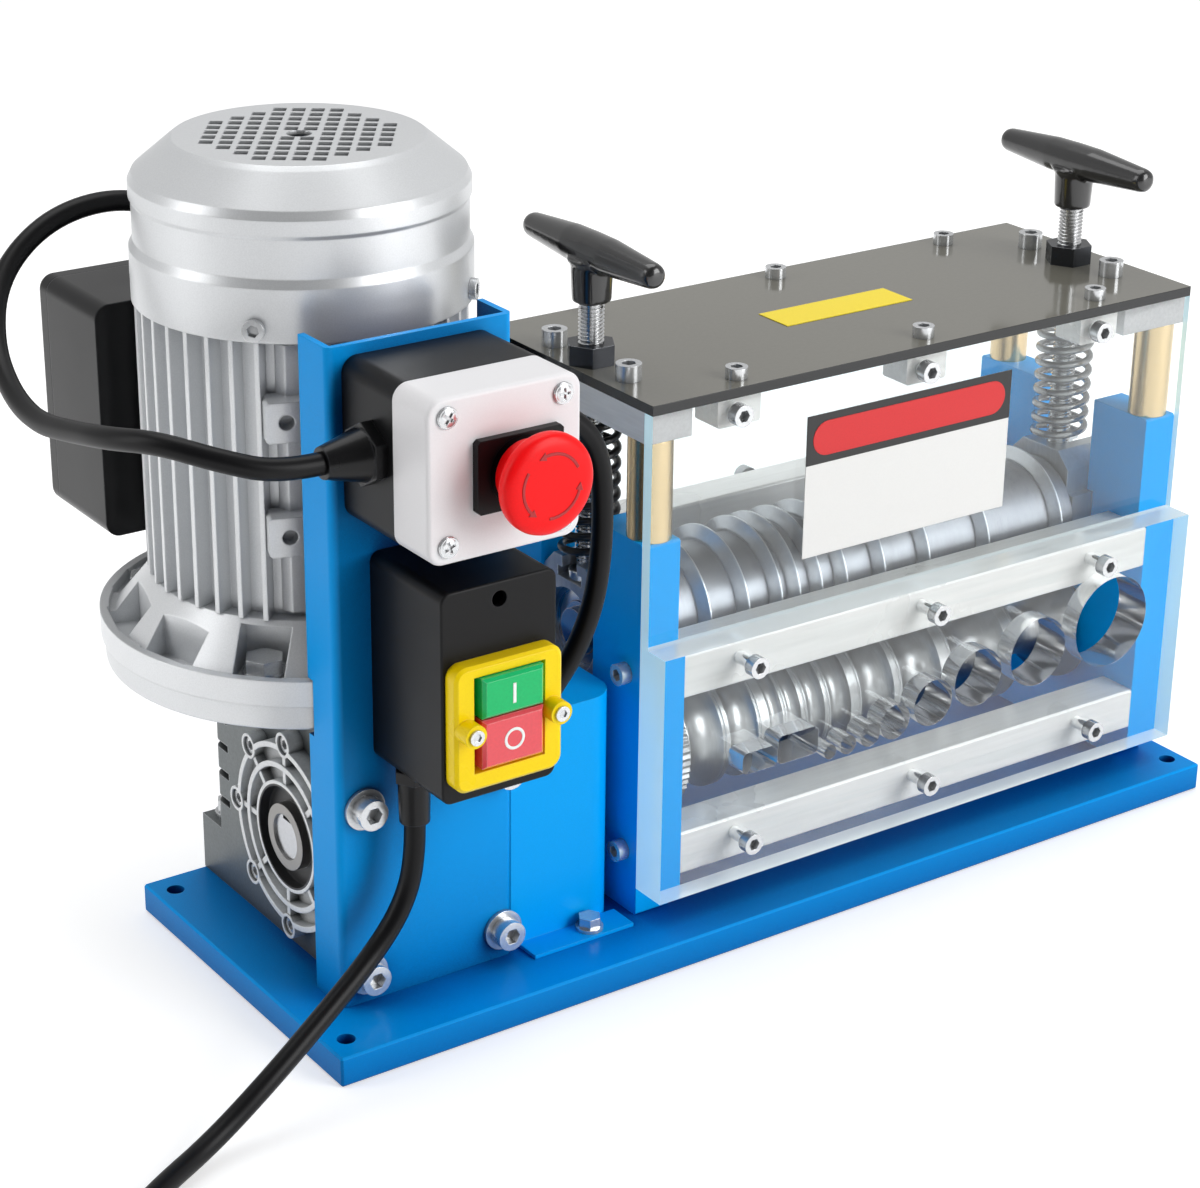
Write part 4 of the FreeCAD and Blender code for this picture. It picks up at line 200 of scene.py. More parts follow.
class GroupBook:
    """The shader node groups that several finishes share, each built once."""

    def __init__(self) -> None:
        """Start with no groups."""
        self.trees: dict[str, bpy.types.NodeTree] = {}

    def place(self, graph: Graph, name: str, **values: object) -> bpy.types.Node:
        """Put a group into a material.

        Args:
            graph: the material's graph.
            name: the name of one of this class's group methods.
            values: values or sockets for the group's inputs.

        Returns:
            The group node.
        """
        if name not in self.trees:
            self.trees[name] = getattr(self, name)()
        return graph.add("ShaderNodeGroup", values, node_tree=self.trees[name])

    @staticmethod
    def blank(name: str, takes: dict[str, str],
              gives: dict[str, str]) -> tuple[Graph, bpy.types.Node, bpy.types.Node]:
        """Start a group with its sockets.

        Args:
            name: the group's name.
            takes: input names and their socket types.
            gives: output names and their socket types.

        Returns:
            The group's graph, its input node and its output node.
        """
        tree = bpy.data.node_groups.new(name, "ShaderNodeTree")
        for key, kind in takes.items():
            tree.interface.new_socket(key, in_out="INPUT", socket_type=kind)
        for key, kind in gives.items():
            tree.interface.new_socket(key, in_out="OUTPUT", socket_type=kind)
        graph = Graph(tree)
        return graph, graph.add("NodeGroupInput"), graph.add("NodeGroupOutput")

    def soft_edges(self) -> bpy.types.NodeTree:
        """Rounded edge normals, and a mask that is 1 on the edges.

        Returns:
            The group's tree.
        """
        graph, start, end = self.blank("soft edges", {"Radius": "NodeSocketFloat"},
                                       {"Normal": "NodeSocketVector", "Edge": "NodeSocketFloat"})
        bevel = graph.add("ShaderNodeBevel", {"Radius": start.outputs["Radius"]}, samples=4)
        rounded = bevel.outputs["Normal"]
        plain = graph.add("ShaderNodeNewGeometry").outputs["Normal"]
        likeness = graph.add("ShaderNodeVectorMath", {0: rounded, 1: plain}, operation="DOT_PRODUCT")
        graph.fill(end, {"Normal": rounded,
                         "Edge": graph.ramp(likeness.outputs["Value"], 0.98, 0.80, 0.0, 1.0)})
        return graph.tree

    def grain(self) -> bpy.types.NodeTree:
        """Fine surface grain, drawn out along an axis if wanted, and broad clouds for handling marks.

        Returns:
            The group's tree.
        """
        graph, start, end = self.blank(
            "grain", {"Stretch": "NodeSocketVector", "Scale": "NodeSocketFloat", "Clouds": "NodeSocketFloat"},
            {"Height": "NodeSocketFloat", "Tone": "NodeSocketFloat", "Cloud": "NodeSocketFloat"})
        place = graph.add("ShaderNodeTexCoord").outputs["Object"]
        drawn = graph.add("ShaderNodeVectorMath", {0: place, 1: start.outputs["Stretch"]},
                          operation="MULTIPLY")
        fine = graph.add("ShaderNodeTexNoise", {"Vector": drawn.outputs["Vector"], "Detail": 3.0,
                                                "Scale": start.outputs["Scale"]}).outputs["Fac"]
        broad = graph.add("ShaderNodeTexNoise", {"Vector": place, "Detail": 4.0,
                                                 "Scale": start.outputs["Clouds"]}).outputs["Fac"]
        graph.fill(end, {"Height": fine, "Tone": graph.ramp(fine, 0.3, 0.7, 0.0, 1.0),
                         "Cloud": graph.ramp(broad, 0.2, 0.8, 0.0, 1.0)})
        return graph.tree

    def recess(self) -> bpy.types.NodeTree:
        """A painted shade mask from ambient occlusion: 1 deep in corners, pockets and gaps, where shade
        falls, and 0 on open faces.

        Returns:
            The group's tree.
        """
        graph, start, end = self.blank("recess", {"Reach": "NodeSocketFloat"}, {"Mask": "NodeSocketFloat"})
        around = graph.add("ShaderNodeAmbientOcclusion", {"Distance": start.outputs["Reach"]}, samples=6)
        graph.fill(end, {"Mask": graph.ramp(around.outputs["AO"], 0.25, 0.85, 1.0, 0.0)})
        return graph.tree

    def axle_ring(self) -> bpy.types.NodeTree:
        """A mask that is 1 between two radii about the lower roller's axis.

        Returns:
            The group's tree.
        """
        graph, start, end = self.blank("axle ring",
                                       {"Inner": "NodeSocketFloat", "Outer": "NodeSocketFloat"},
                                       {"Mask": "NodeSocketFloat"})
        place = graph.add("ShaderNodeTexCoord").outputs["Object"]
        apart = graph.add("ShaderNodeSeparateXYZ", {0: place})
        across = graph.math("SUBTRACT", apart.outputs["Y"], LOWER_AXIS[0])
        above = graph.math("SUBTRACT", apart.outputs["Z"], LOWER_AXIS[1])
        radius = graph.math("SQRT", graph.math("ADD", graph.math("MULTIPLY", across, across),
                                               graph.math("MULTIPLY", above, above)))
        beyond = graph.math("GREATER_THAN", radius, start.outputs["Inner"])
        within = graph.math("LESS_THAN", radius, start.outputs["Outer"])
        graph.fill(end, {"Mask": graph.math("MULTIPLY", beyond, within)})
        return graph.tree

    def sides(self) -> bpy.types.NodeTree:
        """A mask that is 1 on upright faces and 0 on level ones, used to keep a painted top reflection off
        the sides.

        Returns:
            The group's tree.
        """
        graph, _, end = self.blank("sides", {}, {"Mask": "NodeSocketFloat"})
        facing = graph.add("ShaderNodeTexCoord").outputs["Normal"]
        level = graph.math("ABSOLUTE", graph.add("ShaderNodeSeparateXYZ", {0: facing}).outputs["Z"])
        graph.fill(end, {"Mask": graph.ramp(level, 0.3, 0.6, 1.0, 0.0)})
        return graph.tree


@dataclass(frozen=True)
class Finish:
    """An opaque finish: colour, grain, handling marks, edges lightened for wear and as painted highlights,
    painted shade in recesses, and darker sides under a painted top reflection where a side colour is set.

    Colours are display values from 0 to 255, grain and clouds are per metre, edge is a radius in
    metres.
    """

    name: str
    colour: Rgb
    rough: float
    metal: float = 0.0
    coat: float = 0.0
    coat_rough: float = 0.1
    grain: float = 1400.0
    stretch: Point = (1.0, 1.0, 1.0)
    bump: float = 0.12
    tone: float = 0.06
    smudge: float = 0.08
    clouds: float = 14.0
    edge: float = 0.5 * MM
    edge_wear_and_highlight: float = 0.18
    edge_wear_and_highlight_colour: Rgb = (240, 242, 245)
    specular: float = 0.5
    recess: float = 0.0
    painted_shade_reach: float = 6.0 * MM
    painted_shade_colour: Rgb = (24, 26, 28)
    ring: tuple[float, float] = (0.0, 0.0)
    ring_colour: Rgb = (30, 30, 32)
    ring_metal: float = 0.0
    side_colour: Rgb | None = None

    def build(self, groups: GroupBook) -> bpy.types.Material:
        """Make the material.

        Args:
            groups: the shared node groups.

        Returns:
            The material.
        """
        material, graph, shader = blank_material(self.name)
        edges = groups.place(graph, "soft_edges", Radius=self.edge)
        grain = groups.place(graph, "grain", Stretch=self.stretch, Scale=self.grain, Clouds=self.clouds)
        base = linear(self.colour)
        dark = tuple(part * (1.0 - self.tone) for part in base[:3]) + (1.0,)
        light = tuple(min(1.0, part * (1.0 + self.tone)) for part in base[:3]) + (1.0,)
        body = graph.mix(grain.outputs["Tone"], dark, light)
        # Edges lightened partly for real wear and partly as painted highlights.
        worn_and_lit = graph.math("MULTIPLY", edges.outputs["Edge"], self.edge_wear_and_highlight)
        body = graph.mix(worn_and_lit, body, linear(self.edge_wear_and_highlight_colour))
        # Painted shade: ambient occlusion darkens corners, pockets and gaps towards the shade colour.
        if self.recess > 0.0:
            deep = groups.place(graph, "recess", Reach=self.painted_shade_reach)
            shade = graph.math("MULTIPLY", deep.outputs["Mask"], self.recess)
            body = graph.mix(shade, body, linear(self.painted_shade_colour))
        # Painted reflection: level faces keep the lighter top colour, upright faces take the darker side
        # colour.
        if self.side_colour is not None:
            upright = groups.place(graph, "sides")
            body = graph.mix(upright.outputs["Mask"], body, linear(self.side_colour))
        graph.fill(shader, {"Metallic": self.metal})
        if self.ring[1] > 0.0:
            band = groups.place(graph, "axle_ring", Inner=self.ring[0], Outer=self.ring[1]).outputs["Mask"]
            body = graph.mix(band, body, linear(self.ring_colour))
            graph.fill(shader, {"Metallic": graph.ramp(band, 0.0, 1.0, self.metal, self.ring_metal)})
        low = max(0.02, self.rough - self.smudge)
        rough = graph.ramp(grain.outputs["Cloud"], 0.0, 1.0, low, self.rough + self.smudge)
        bump = graph.add("ShaderNodeBump", {"Strength": self.bump, "Distance": 0.1 * MM,
                                            "Height": grain.outputs["Height"],
                                            "Normal": edges.outputs["Normal"]})
        graph.fill(shader, {"Base Color": body, "Roughness": rough, "Normal": bump.outputs["Normal"],
                            "Coat Weight": self.coat, "Coat Roughness": self.coat_rough,
                            "Specular IOR Level": self.specular})
        return material


@dataclass(frozen=True)
class ClearSheet:
    """Clear sheet that lets light through to what is behind it; where it glows, the glow is painted light."""

    name: str
    colour: Rgb
    rough: float = 0.0
    transmission: float = 1.0
    ior: float = 1.45
    glow: float = 0.0

    def build(self, groups: GroupBook) -> bpy.types.Material:
        """Make the material.

        Args:
            groups: the shared node groups.

        Returns:
            The material.
        """
        material, graph, shader = blank_material(self.name)
        output = material.node_tree.nodes["Material Output"]
        grain = groups.place(graph, "grain", Stretch=(1.0, 1.0, 1.0), Scale=260.0, Clouds=9.0)
        tint = linear(self.colour)
        bright = tuple(min(1.0, part * 1.03) for part in tint[:3]) + (1.0,)
        rough = graph.ramp(grain.outputs["Cloud"], 0.0, 1.0, self.rough, self.rough + 0.006)
        # Emission on ends and rims is a painted glow.
        graph.fill(shader, {"Base Color": graph.mix(grain.outputs["Cloud"], tint, bright),
                            "Roughness": rough, "Transmission Weight": self.transmission,
                            "IOR": self.ior, "Emission Color": tint, "Emission Strength": self.glow})
        through = graph.add("ShaderNodeBsdfTransparent")
        ray = graph.add("ShaderNodeLightPath")
        shadow = graph.math("MAXIMUM", ray.outputs["Is Shadow Ray"], ray.outputs["Is Diffuse Ray"])
        both = graph.add("ShaderNodeMixShader", {0: shadow, 1: shader.outputs["BSDF"],
                                                 2: through.outputs["BSDF"]})
        graph.fill(output, {"Surface": both.outputs["Shader"]})
        return material


class Look(Enum):
    """Every finish on the machine."""

    BLUE = Finish("blue powder coat", (0, 170, 252), 0.34, grain=2600.0, bump=0.10, tone=0.03, edge_wear_and_highlight=0.25,
                  edge_wear_and_highlight_colour=(70, 206, 255), specular=0.12)
    # The same blue coat as BLUE, slightly darker, with navy painted shade in its corners.
    BASE_BLUE = Finish("blue base coat", (0, 158, 244), 0.36, grain=2600.0, bump=0.10, tone=0.03, edge_wear_and_highlight=0.25,
                       edge_wear_and_highlight_colour=(70, 206, 255), specular=0.08, recess=0.95, painted_shade_reach=46.0 * MM,
                       painted_shade_colour=(0, 40, 120))
    # The same blue coat again, with deep navy painted shade reaching 85 mm from the bracket's corners.
    SHADED_BLUE = Finish("blue coat in corners", (0, 164, 248), 0.34, grain=2600.0, bump=0.10, tone=0.03,
                         edge_wear_and_highlight=0.25, edge_wear_and_highlight_colour=(70, 206, 255), specular=0.12, recess=1.0,
                         painted_shade_reach=85.0 * MM, painted_shade_colour=(0, 16, 88))
    # Silver paint with grey painted shade in its recesses.
    SILVER = Finish("silver painted casting", (220, 222, 224), 0.34, metal=0.58, grain=1900.0, bump=0.20,
                    tone=0.04, smudge=0.04, edge=0.8 * MM, recess=0.45, painted_shade_colour=(112, 116, 120))
    # Brighter silver paint with grey painted shade in its recesses.
    BRIGHT_CASTING = Finish("bright painted casting", (232, 234, 236), 0.36, metal=0.42, grain=1900.0,
                            bump=0.20, tone=0.04, smudge=0.04, edge=0.8 * MM, recess=0.40,
                            painted_shade_colour=(116, 120, 124))
    # Colour darkened to stand in for shade on the housing's sides, plus dark painted shade in its pockets.
    ROUGH_CASTING = Finish("grey rough casting", (112, 117, 118), 0.44, metal=0.5, grain=900.0, bump=0.40,
                           tone=0.09, edge=0.8 * MM, edge_wear_and_highlight=0.5, recess=0.8, painted_shade_reach=12.0 * MM)
    # Dark painted shade in the cover's pockets.
    COVER_CASTING = Finish("ribbed cover casting", (226, 228, 229), 0.38, metal=0.35, grain=900.0,
                           bump=0.30, edge=0.7 * MM, edge_wear_and_highlight=0.4, recess=1.0, painted_shade_reach=5.0 * MM,
                           painted_shade_colour=(44, 48, 48), ring=(13.2 * MM, 20.6 * MM),
                           ring_colour=(40, 40, 42))
    BRIGHT_BAR = Finish("ground bright bar", (248, 248, 246), 0.30, metal=0.15, grain=500.0,
                        stretch=(0.06, 1.0, 1.0), tone=0.04)
    PALE_BEAM = Finish("satin beam", (222, 223, 224), 0.38, metal=0.5, grain=700.0,
                       stretch=(1.0, 0.08, 1.0), bump=0.14, tone=0.05)
    GOLD_COLUMN = Finish("pale gold column", (214, 188, 146), 0.24, metal=0.9, grain=900.0,
                         stretch=(1.0, 1.0, 12.0), bump=0.10, tone=0.05)
    # A dark plate whose lighter grey top colour is a painted reflection; its sides take the dark side colour.
    DARK_PLATE = Finish("glossy grey plate", (112, 110, 101), 0.12, coat=0.25, coat_rough=0.06, grain=500.0,
                        bump=0.02, tone=0.02, smudge=0.03, edge_wear_and_highlight=0.5, edge_wear_and_highlight_colour=(150, 152, 150),
                        specular=0.45, side_colour=(20, 22, 24))
    CARD = Finish("bare card", (232, 232, 230), 0.45, grain=1500.0, bump=0.03, tone=0.01, edge_wear_and_highlight=0.0)
    CARD_BAND = Finish("black band", (26, 26, 27), 0.40, grain=1500.0, bump=0.03, tone=0.03, edge_wear_and_highlight=0.0)
    CARD_BAR = Finish("red bar", (214, 30, 34), 0.40, grain=1500.0, bump=0.03, tone=0.03, edge_wear_and_highlight=0.0)
    YELLOW_STRIP = Finish("bare yellow strip", (252, 226, 30), 0.40, grain=1500.0, bump=0.03, tone=0.02,
                          edge_wear_and_highlight=0.0)
    RACE = Finish("polished race", (196, 198, 202), 0.20, metal=1.0, grain=800.0, bump=0.05)
    LAMINATION = Finish("stacked laminations", (120, 118, 116), 0.45, metal=0.8, grain=1600.0,
                        stretch=(0.1, 0.1, 3.0), bump=0.5, tone=0.2)
    CAN = Finish("drawn can", (206, 207, 208), 0.30, metal=0.9, grain=900.0, stretch=(0.2, 1.0, 1.0),
                 bump=0.1)
    BLACK_MOULDED = Finish("black moulded box", (12, 12, 14), 0.40, grain=2400.0, bump=0.25, tone=0.10,
                           edge_wear_and_highlight=0.30, edge_wear_and_highlight_colour=(84, 86, 92), specular=0.20)
    BLACK_SATIN = Finish("black satin box", (15, 15, 17), 0.30, coat=0.1, grain=1500.0, bump=0.10,
                         tone=0.10, edge=0.9 * MM, edge_wear_and_highlight=0.30, edge_wear_and_highlight_colour=(100, 102, 108), specular=0.22)
    WHITE_MOULDED = Finish("white moulded cover", (236, 235, 237), 0.36, grain=1900.0, bump=0.08,
                           tone=0.015, smudge=0.02, edge=0.8 * MM, edge_wear_and_highlight=0.0)
    YELLOW_MOULDED = Finish("yellow moulded frame", (255, 220, 0), 0.30, grain=1500.0, bump=0.06, tone=0.03,
                            edge_wear_and_highlight=0.30, edge_wear_and_highlight_colour=(255, 240, 120), specular=0.25)
    GREEN_KEY = Finish("green key", (0, 190, 108), 0.24, coat=0.15, grain=900.0, bump=0.04, tone=0.05,
                       edge_wear_and_highlight=0.45, edge_wear_and_highlight_colour=(160, 240, 205), specular=0.3)
    RED_KEY = Finish("red key", (232, 62, 74), 0.20, coat=0.6, grain=900.0, bump=0.04, tone=0.05, edge_wear_and_highlight=0.55,
                     edge_wear_and_highlight_colour=(255, 205, 205))
    KEY_MARK = Finish("white key mark", (246, 250, 248), 0.35, grain=900.0, bump=0.02, tone=0.01, edge_wear_and_highlight=0.0)
    MUSHROOM = Finish("red mushroom", (250, 10, 16), 0.32, coat=0.05, grain=1500.0, bump=0.05, tone=0.03,
                      edge=0.8 * MM, edge_wear_and_highlight=0.10, edge_wear_and_highlight_colour=(255, 110, 110), specular=0.18)
    ARROW = Finish("dark red arrow", (176, 14, 22), 0.35, grain=1500.0, bump=0.05, tone=0.03, edge_wear_and_highlight=0.0)
    # Painted shade darkens the screw sockets and recesses.
    ZINC = Finish("zinc plated screw", (214, 216, 218), 0.20, metal=0.72, grain=1200.0, bump=0.08,
                  tone=0.08, edge=0.3 * MM, edge_wear_and_highlight=0.5, recess=0.5, painted_shade_reach=4.0 * MM,
                  painted_shade_colour=(30, 32, 34))
    # Dark colour stands in for the dark reflection on the nuts, a painted reflection; bright edges are
    # painted highlights.
    DARK_NUT = Finish("blackened nut", (62, 64, 68), 0.24, metal=0.8, grain=1200.0, bump=0.08, tone=0.08,
                      edge=0.3 * MM, edge_wear_and_highlight=0.55, edge_wear_and_highlight_colour=(210, 212, 216))
    THREAD = Finish("bright thread", (214, 215, 216), 0.20, metal=1.0, grain=1200.0, bump=0.05,
                    edge=0.1 * MM, edge_wear_and_highlight=0.0)
    JACKET = Finish("black cable jacket", (12, 12, 14), 0.38, grain=1800.0, bump=0.10, tone=0.12, edge_wear_and_highlight=0.0,
                    specular=0.2)
    BLOCK = Finish("milled block", (186, 190, 194), 0.32, metal=0.85, grain=600.0, stretch=(1.0, 1.0, 0.08),
                   tone=0.07)
    BLADE = Finish("ground blade", (202, 204, 208), 0.32, metal=0.85, grain=700.0, stretch=(0.1, 1.0, 1.0),
                   bump=0.06, tone=0.05)
    SPACER = Finish("dull sleeve", (138, 140, 146), 0.42, metal=0.8, grain=900.0, stretch=(1.0, 0.15, 0.15),
                    bump=0.10, tone=0.07)
    FEED = Finish("turned feed wheel", (158, 158, 159), 0.34, metal=0.95, grain=800.0,
                  stretch=(3.0, 0.2, 0.2), bump=0.10, tone=0.08, edge_wear_and_highlight=0.35)
    BLACK_WIRE = Finish("blackened spring wire", (26, 26, 28), 0.30, metal=0.4, grain=1200.0, bump=0.08,
                        tone=0.1, edge_wear_and_highlight=0.0)
    GREY_WIRE = Finish("bright spring wire", (150, 150, 150), 0.26, metal=0.9, grain=1200.0, bump=0.06,
                       tone=0.1, edge_wear_and_highlight=0.0)
    HANDLE = Finish("black handle", (26, 26, 27), 0.22, coat=0.7, grain=900.0, bump=0.04, tone=0.08,
                    edge_wear_and_highlight=0.0)
    BRONZE = Finish("tin bronze", (190, 146, 84), 0.30, metal=0.95, grain=900.0, bump=0.10,
                    ring=(-1.0, 17.0 * MM), ring_colour=(150, 148, 146), ring_metal=0.85)
    CLEAR = ClearSheet("clear sheet", (248, 253, 254))
    # Tinted, partly opaque ends and rims that glow as painted light.
    CLEAR_END = ClearSheet("lit sheet end", (206, 240, 248), rough=0.30, transmission=0.12, glow=0.35)
    CLEAR_RIM = ClearSheet("lit sheet rim", (236, 246, 248), rough=0.16, transmission=0.30, glow=0.12)
    CLEAR_BORE = Finish("polished bore", (250, 252, 253), 0.08, metal=0.8, grain=300.0, bump=0.05,
                        tone=0.04, edge=0.2 * MM, edge_wear_and_highlight=0.0)


class Paint:
    """Hands out materials, each made once."""

    def __init__(self) -> None:
        """Start with no materials."""
        self.groups = GroupBook()
        self.made: dict[Look, bpy.types.Material] = {}

    def of(self, look: Look) -> bpy.types.Material:
        """Find the material of a finish, made at its first use.

        Args:
            look: the finish.

        Returns:
            Its material.
        """
        if look not in self.made:
            self.made[look] = look.value.build(self.groups)
        return self.made[look]

    def dress(self, piece: bpy.types.Object, *looks: Look) -> None:
        """Give a piece its finishes.

        Args:
            piece: the piece.
            looks: one finish per material slot.
        """
        piece.data.materials.clear()
        for look in looks:
            piece.data.materials.append(self.of(look))


class Bench:
    """Modelling steps as by hand: start from a primitive or a profile, shape it and finish it."""

    @staticmethod
    def free() -> None:
        """Leave edit mode and select nothing."""
        if bpy.context.mode != "OBJECT":
            bpy.ops.object.mode_set(mode="OBJECT")
        bpy.ops.object.select_all(action="DESELECT")

    @staticmethod
    def pick(piece: bpy.types.Object) -> None:
        """Select one piece and make it active.

        Args:
            piece: the piece.
        """
        Bench.free()
        piece.select_set(True)
        bpy.context.view_layer.objects.active = piece

    @staticmethod
    def put(name: str, data: bpy.types.ID) -> bpy.types.Object:
        """Put new data into the scene as an object.

        Args:
            name: the object's name.
            data: its mesh, curve, light or camera.

        Returns:
            The object.
        """
        piece = bpy.data.objects.new(name, data)
        bpy.context.scene.collection.objects.link(piece)
        return piece

    @staticmethod
    def open_mesh(piece: bpy.types.Object) -> None:
        """Open a piece in edit mode with all of it selected.

        Args:
            piece: the piece.
        """
        Bench.pick(piece)
        bpy.ops.object.mode_set(mode="EDIT")
        bpy.ops.mesh.select_all(action="SELECT")

    @staticmethod
    def modify(piece: bpy.types.Object, kind: str, **settings: object) -> None:
        """Change a piece with one modifier, applied at once.

        Args:
            piece: the piece.
            kind: the modifier's type name.
            settings: properties to set on it.
        """
        Bench.pick(piece)
        step = piece.modifiers.new(kind.lower(), kind)
        for name, value in settings.items():
            setattr(step, name, value)
        bpy.ops.object.modifier_apply(modifier=step.name)

    @staticmethod
    def settle(piece: bpy.types.Object, name: str) -> bpy.types.Object:
        """Name a piece and put its place into its mesh.

        Args:
            piece: the piece.
            name: its name.

        Returns:
            The piece.
        """
        Bench.pick(piece)
        bpy.ops.object.transform_apply(location=True, rotation=True, scale=True)
        piece.name = name
        piece.data.name = name
        return piece

    @staticmethod
    def slab(name: str, low: Vector, high: Vector, bevel: float = 0.0) -> bpy.types.Object:
        """A block between two corners.

        Args:
            name: the piece's name.
            low: lowest corner.
            high: highest corner.
            bevel: width of the bevel on its edges.

        Returns:
            The block.
        """
        Bench.free()
        bpy.ops.mesh.primitive_cube_add(size=1.0, location=(low + high) / 2, scale=high - low)
        piece = Bench.settle(bpy.context.object, name)
        if bevel > 0.0:
            Bench.modify(piece, "BEVEL", width=bevel, segments=1, limit_method="ANGLE",
                         angle_limit=math.radians(30.0))
        return piece

    @staticmethod
    def lathe(name: str, outline: list[tuple[float, float]], steps: int = 48) -> bpy.types.Object:
        """Spin an outline about Z.

        Args:
            name: the piece's name.
            outline: (radius, height) pairs from one end to the other.
            steps: faces round the piece.

        Returns:
            The turned piece, at the origin.
        """
        Bench.free()
        mesh = bpy.data.meshes.new(name)
        points = [(radius, 0.0, height) for radius, height in outline]
        mesh.from_pydata(points, [(i, i + 1) for i in range(len(points) - 1)], [])
        piece = Bench.put(name, mesh)
        Bench.open_mesh(piece)
        bpy.ops.mesh.spin(steps=steps, angle=2.0 * math.pi, center=(0.0, 0.0, 0.0), axis=(0.0, 0.0, 1.0))
        bpy.ops.mesh.select_all(action="SELECT")
        bpy.ops.mesh.remove_doubles(threshold=0.005 * MM)
        bpy.ops.mesh.normals_make_consistent(inside=False)
        bpy.ops.object.mode_set(mode="OBJECT")
        bpy.ops.object.shade_smooth_by_angle(angle=SMOOTH_BELOW)
        return piece

    @staticmethod
    def prism(name: str, points: list[tuple[float, float]], low: float, high: float) -> bpy.types.Object:
        """Extrude a flat outline along Z.

        Args:
            name: the piece's name.
            points: the outline, in order.
            low: where its back lies.
            high: where its front lies.

        Returns:
            The piece, at the origin.
        """
        mesh = bpy.data.meshes.new(name)
        mesh.from_pydata([(x, y, low) for x, y in points], [], [tuple(range(len(points)))])
        piece = Bench.put(name, mesh)
        Bench.open_mesh(piece)
        bpy.ops.mesh.extrude_region_move(TRANSFORM_OT_translate={"value": (0.0, 0.0, high - low)})
        bpy.ops.mesh.select_all(action="SELECT")
        bpy.ops.mesh.normals_make_consistent(inside=False)
        bpy.ops.object.mode_set(mode="OBJECT")
        return piece

    @staticmethod
    def tube(name: str, points: list[Point], radius: float, round_steps: int,
             long_steps: int) -> bpy.types.Object:
        """Sweep a round section along a smooth spline.

        Args:
            name: the curve's name.
            points: the spline's control points, in metres.
            radius: radius of the section.
            round_steps: how finely the section is rounded.
            long_steps: how finely each stretch is divided.

        Returns:
            The curve, closed at its ends.
        """
        data = bpy.data.curves.new(name, "CURVE")
        data.dimensions = "3D"
        data.bevel_depth = radius
        data.bevel_resolution = round_steps
        data.resolution_u = long_steps
        data.use_fill_caps = True
        spline = data.splines.new("NURBS")
        spline.points.add(len(points) - 1)
        for point, place in zip(spline.points, points):
            point.co = (*place, 1.0)
        spline.order_u = 3
        spline.use_endpoint_u = True
        return Bench.put(name, data)

    @staticmethod
    def move(piece: bpy.types.Object, matrix: Matrix) -> bpy.types.Object:
        """Place a piece by turning and moving its mesh.

        Args:
            piece: the piece.
            matrix: where it goes, from the origin.

        Returns:
            The piece.
        """
        piece.data.transform(matrix)
        piece.data.update()
        return piece

    @staticmethod
    def join(name: str, parts: list[bpy.types.Object]) -> bpy.types.Object:
        """Join parts into one piece.

        Args:
            name: the piece's name.
            parts: its parts.

        Returns:
            The piece.
        """
        Bench.pick(parts[0])
        for part in parts:
            part.select_set(True)
        if len(parts) > 1:
            bpy.ops.object.join()
        piece = bpy.context.view_layer.objects.active
        piece.name = name
        piece.data.name = name
        return piece

    @staticmethod
    def merged(node: bpy.types.Object, name: str) -> bpy.types.Object:
        """Copy a solid's mesh with its loose triangles joined up.

        Args:
            node: the solid's object.
            name: the copy's name.

        Returns:
            The copy, on no body yet.
        """
        piece = Bench.put(name, node.data.copy())
        Bench.open_mesh(piece)
        bpy.ops.mesh.customdata_custom_splitnormals_clear()
        bpy.ops.mesh.remove_doubles(threshold=0.002 * MM)
        bpy.ops.mesh.dissolve_limited(angle_limit=math.radians(0.5))
        bpy.ops.object.mode_set(mode="OBJECT")
        bpy.ops.object.shade_smooth_by_angle(angle=SMOOTH_BELOW)
        return piece


@dataclass(frozen=True)
class Lamp:
    """A soft box: where it hangs, in metres, its width and height, and its power in watts."""

    name: str
    place: Point
    size: tuple[float, float]
    power: float

    def hang(self, aim: Point) -> None:
        """Hang the lamp.

        Args:
            aim: the point that it faces.
        """
        data = bpy.data.lights.new(self.name, "AREA")
        data.shape = "RECTANGLE"
        data.size, data.size_y = self.size
        data.energy = self.power
        turn = (Vector(self.place) - Vector(aim)).to_track_quat("Z", "Y").to_matrix().to_4x4()
        Bench.put(self.name, data).matrix_world = Matrix.Translation(self.place) @ turn


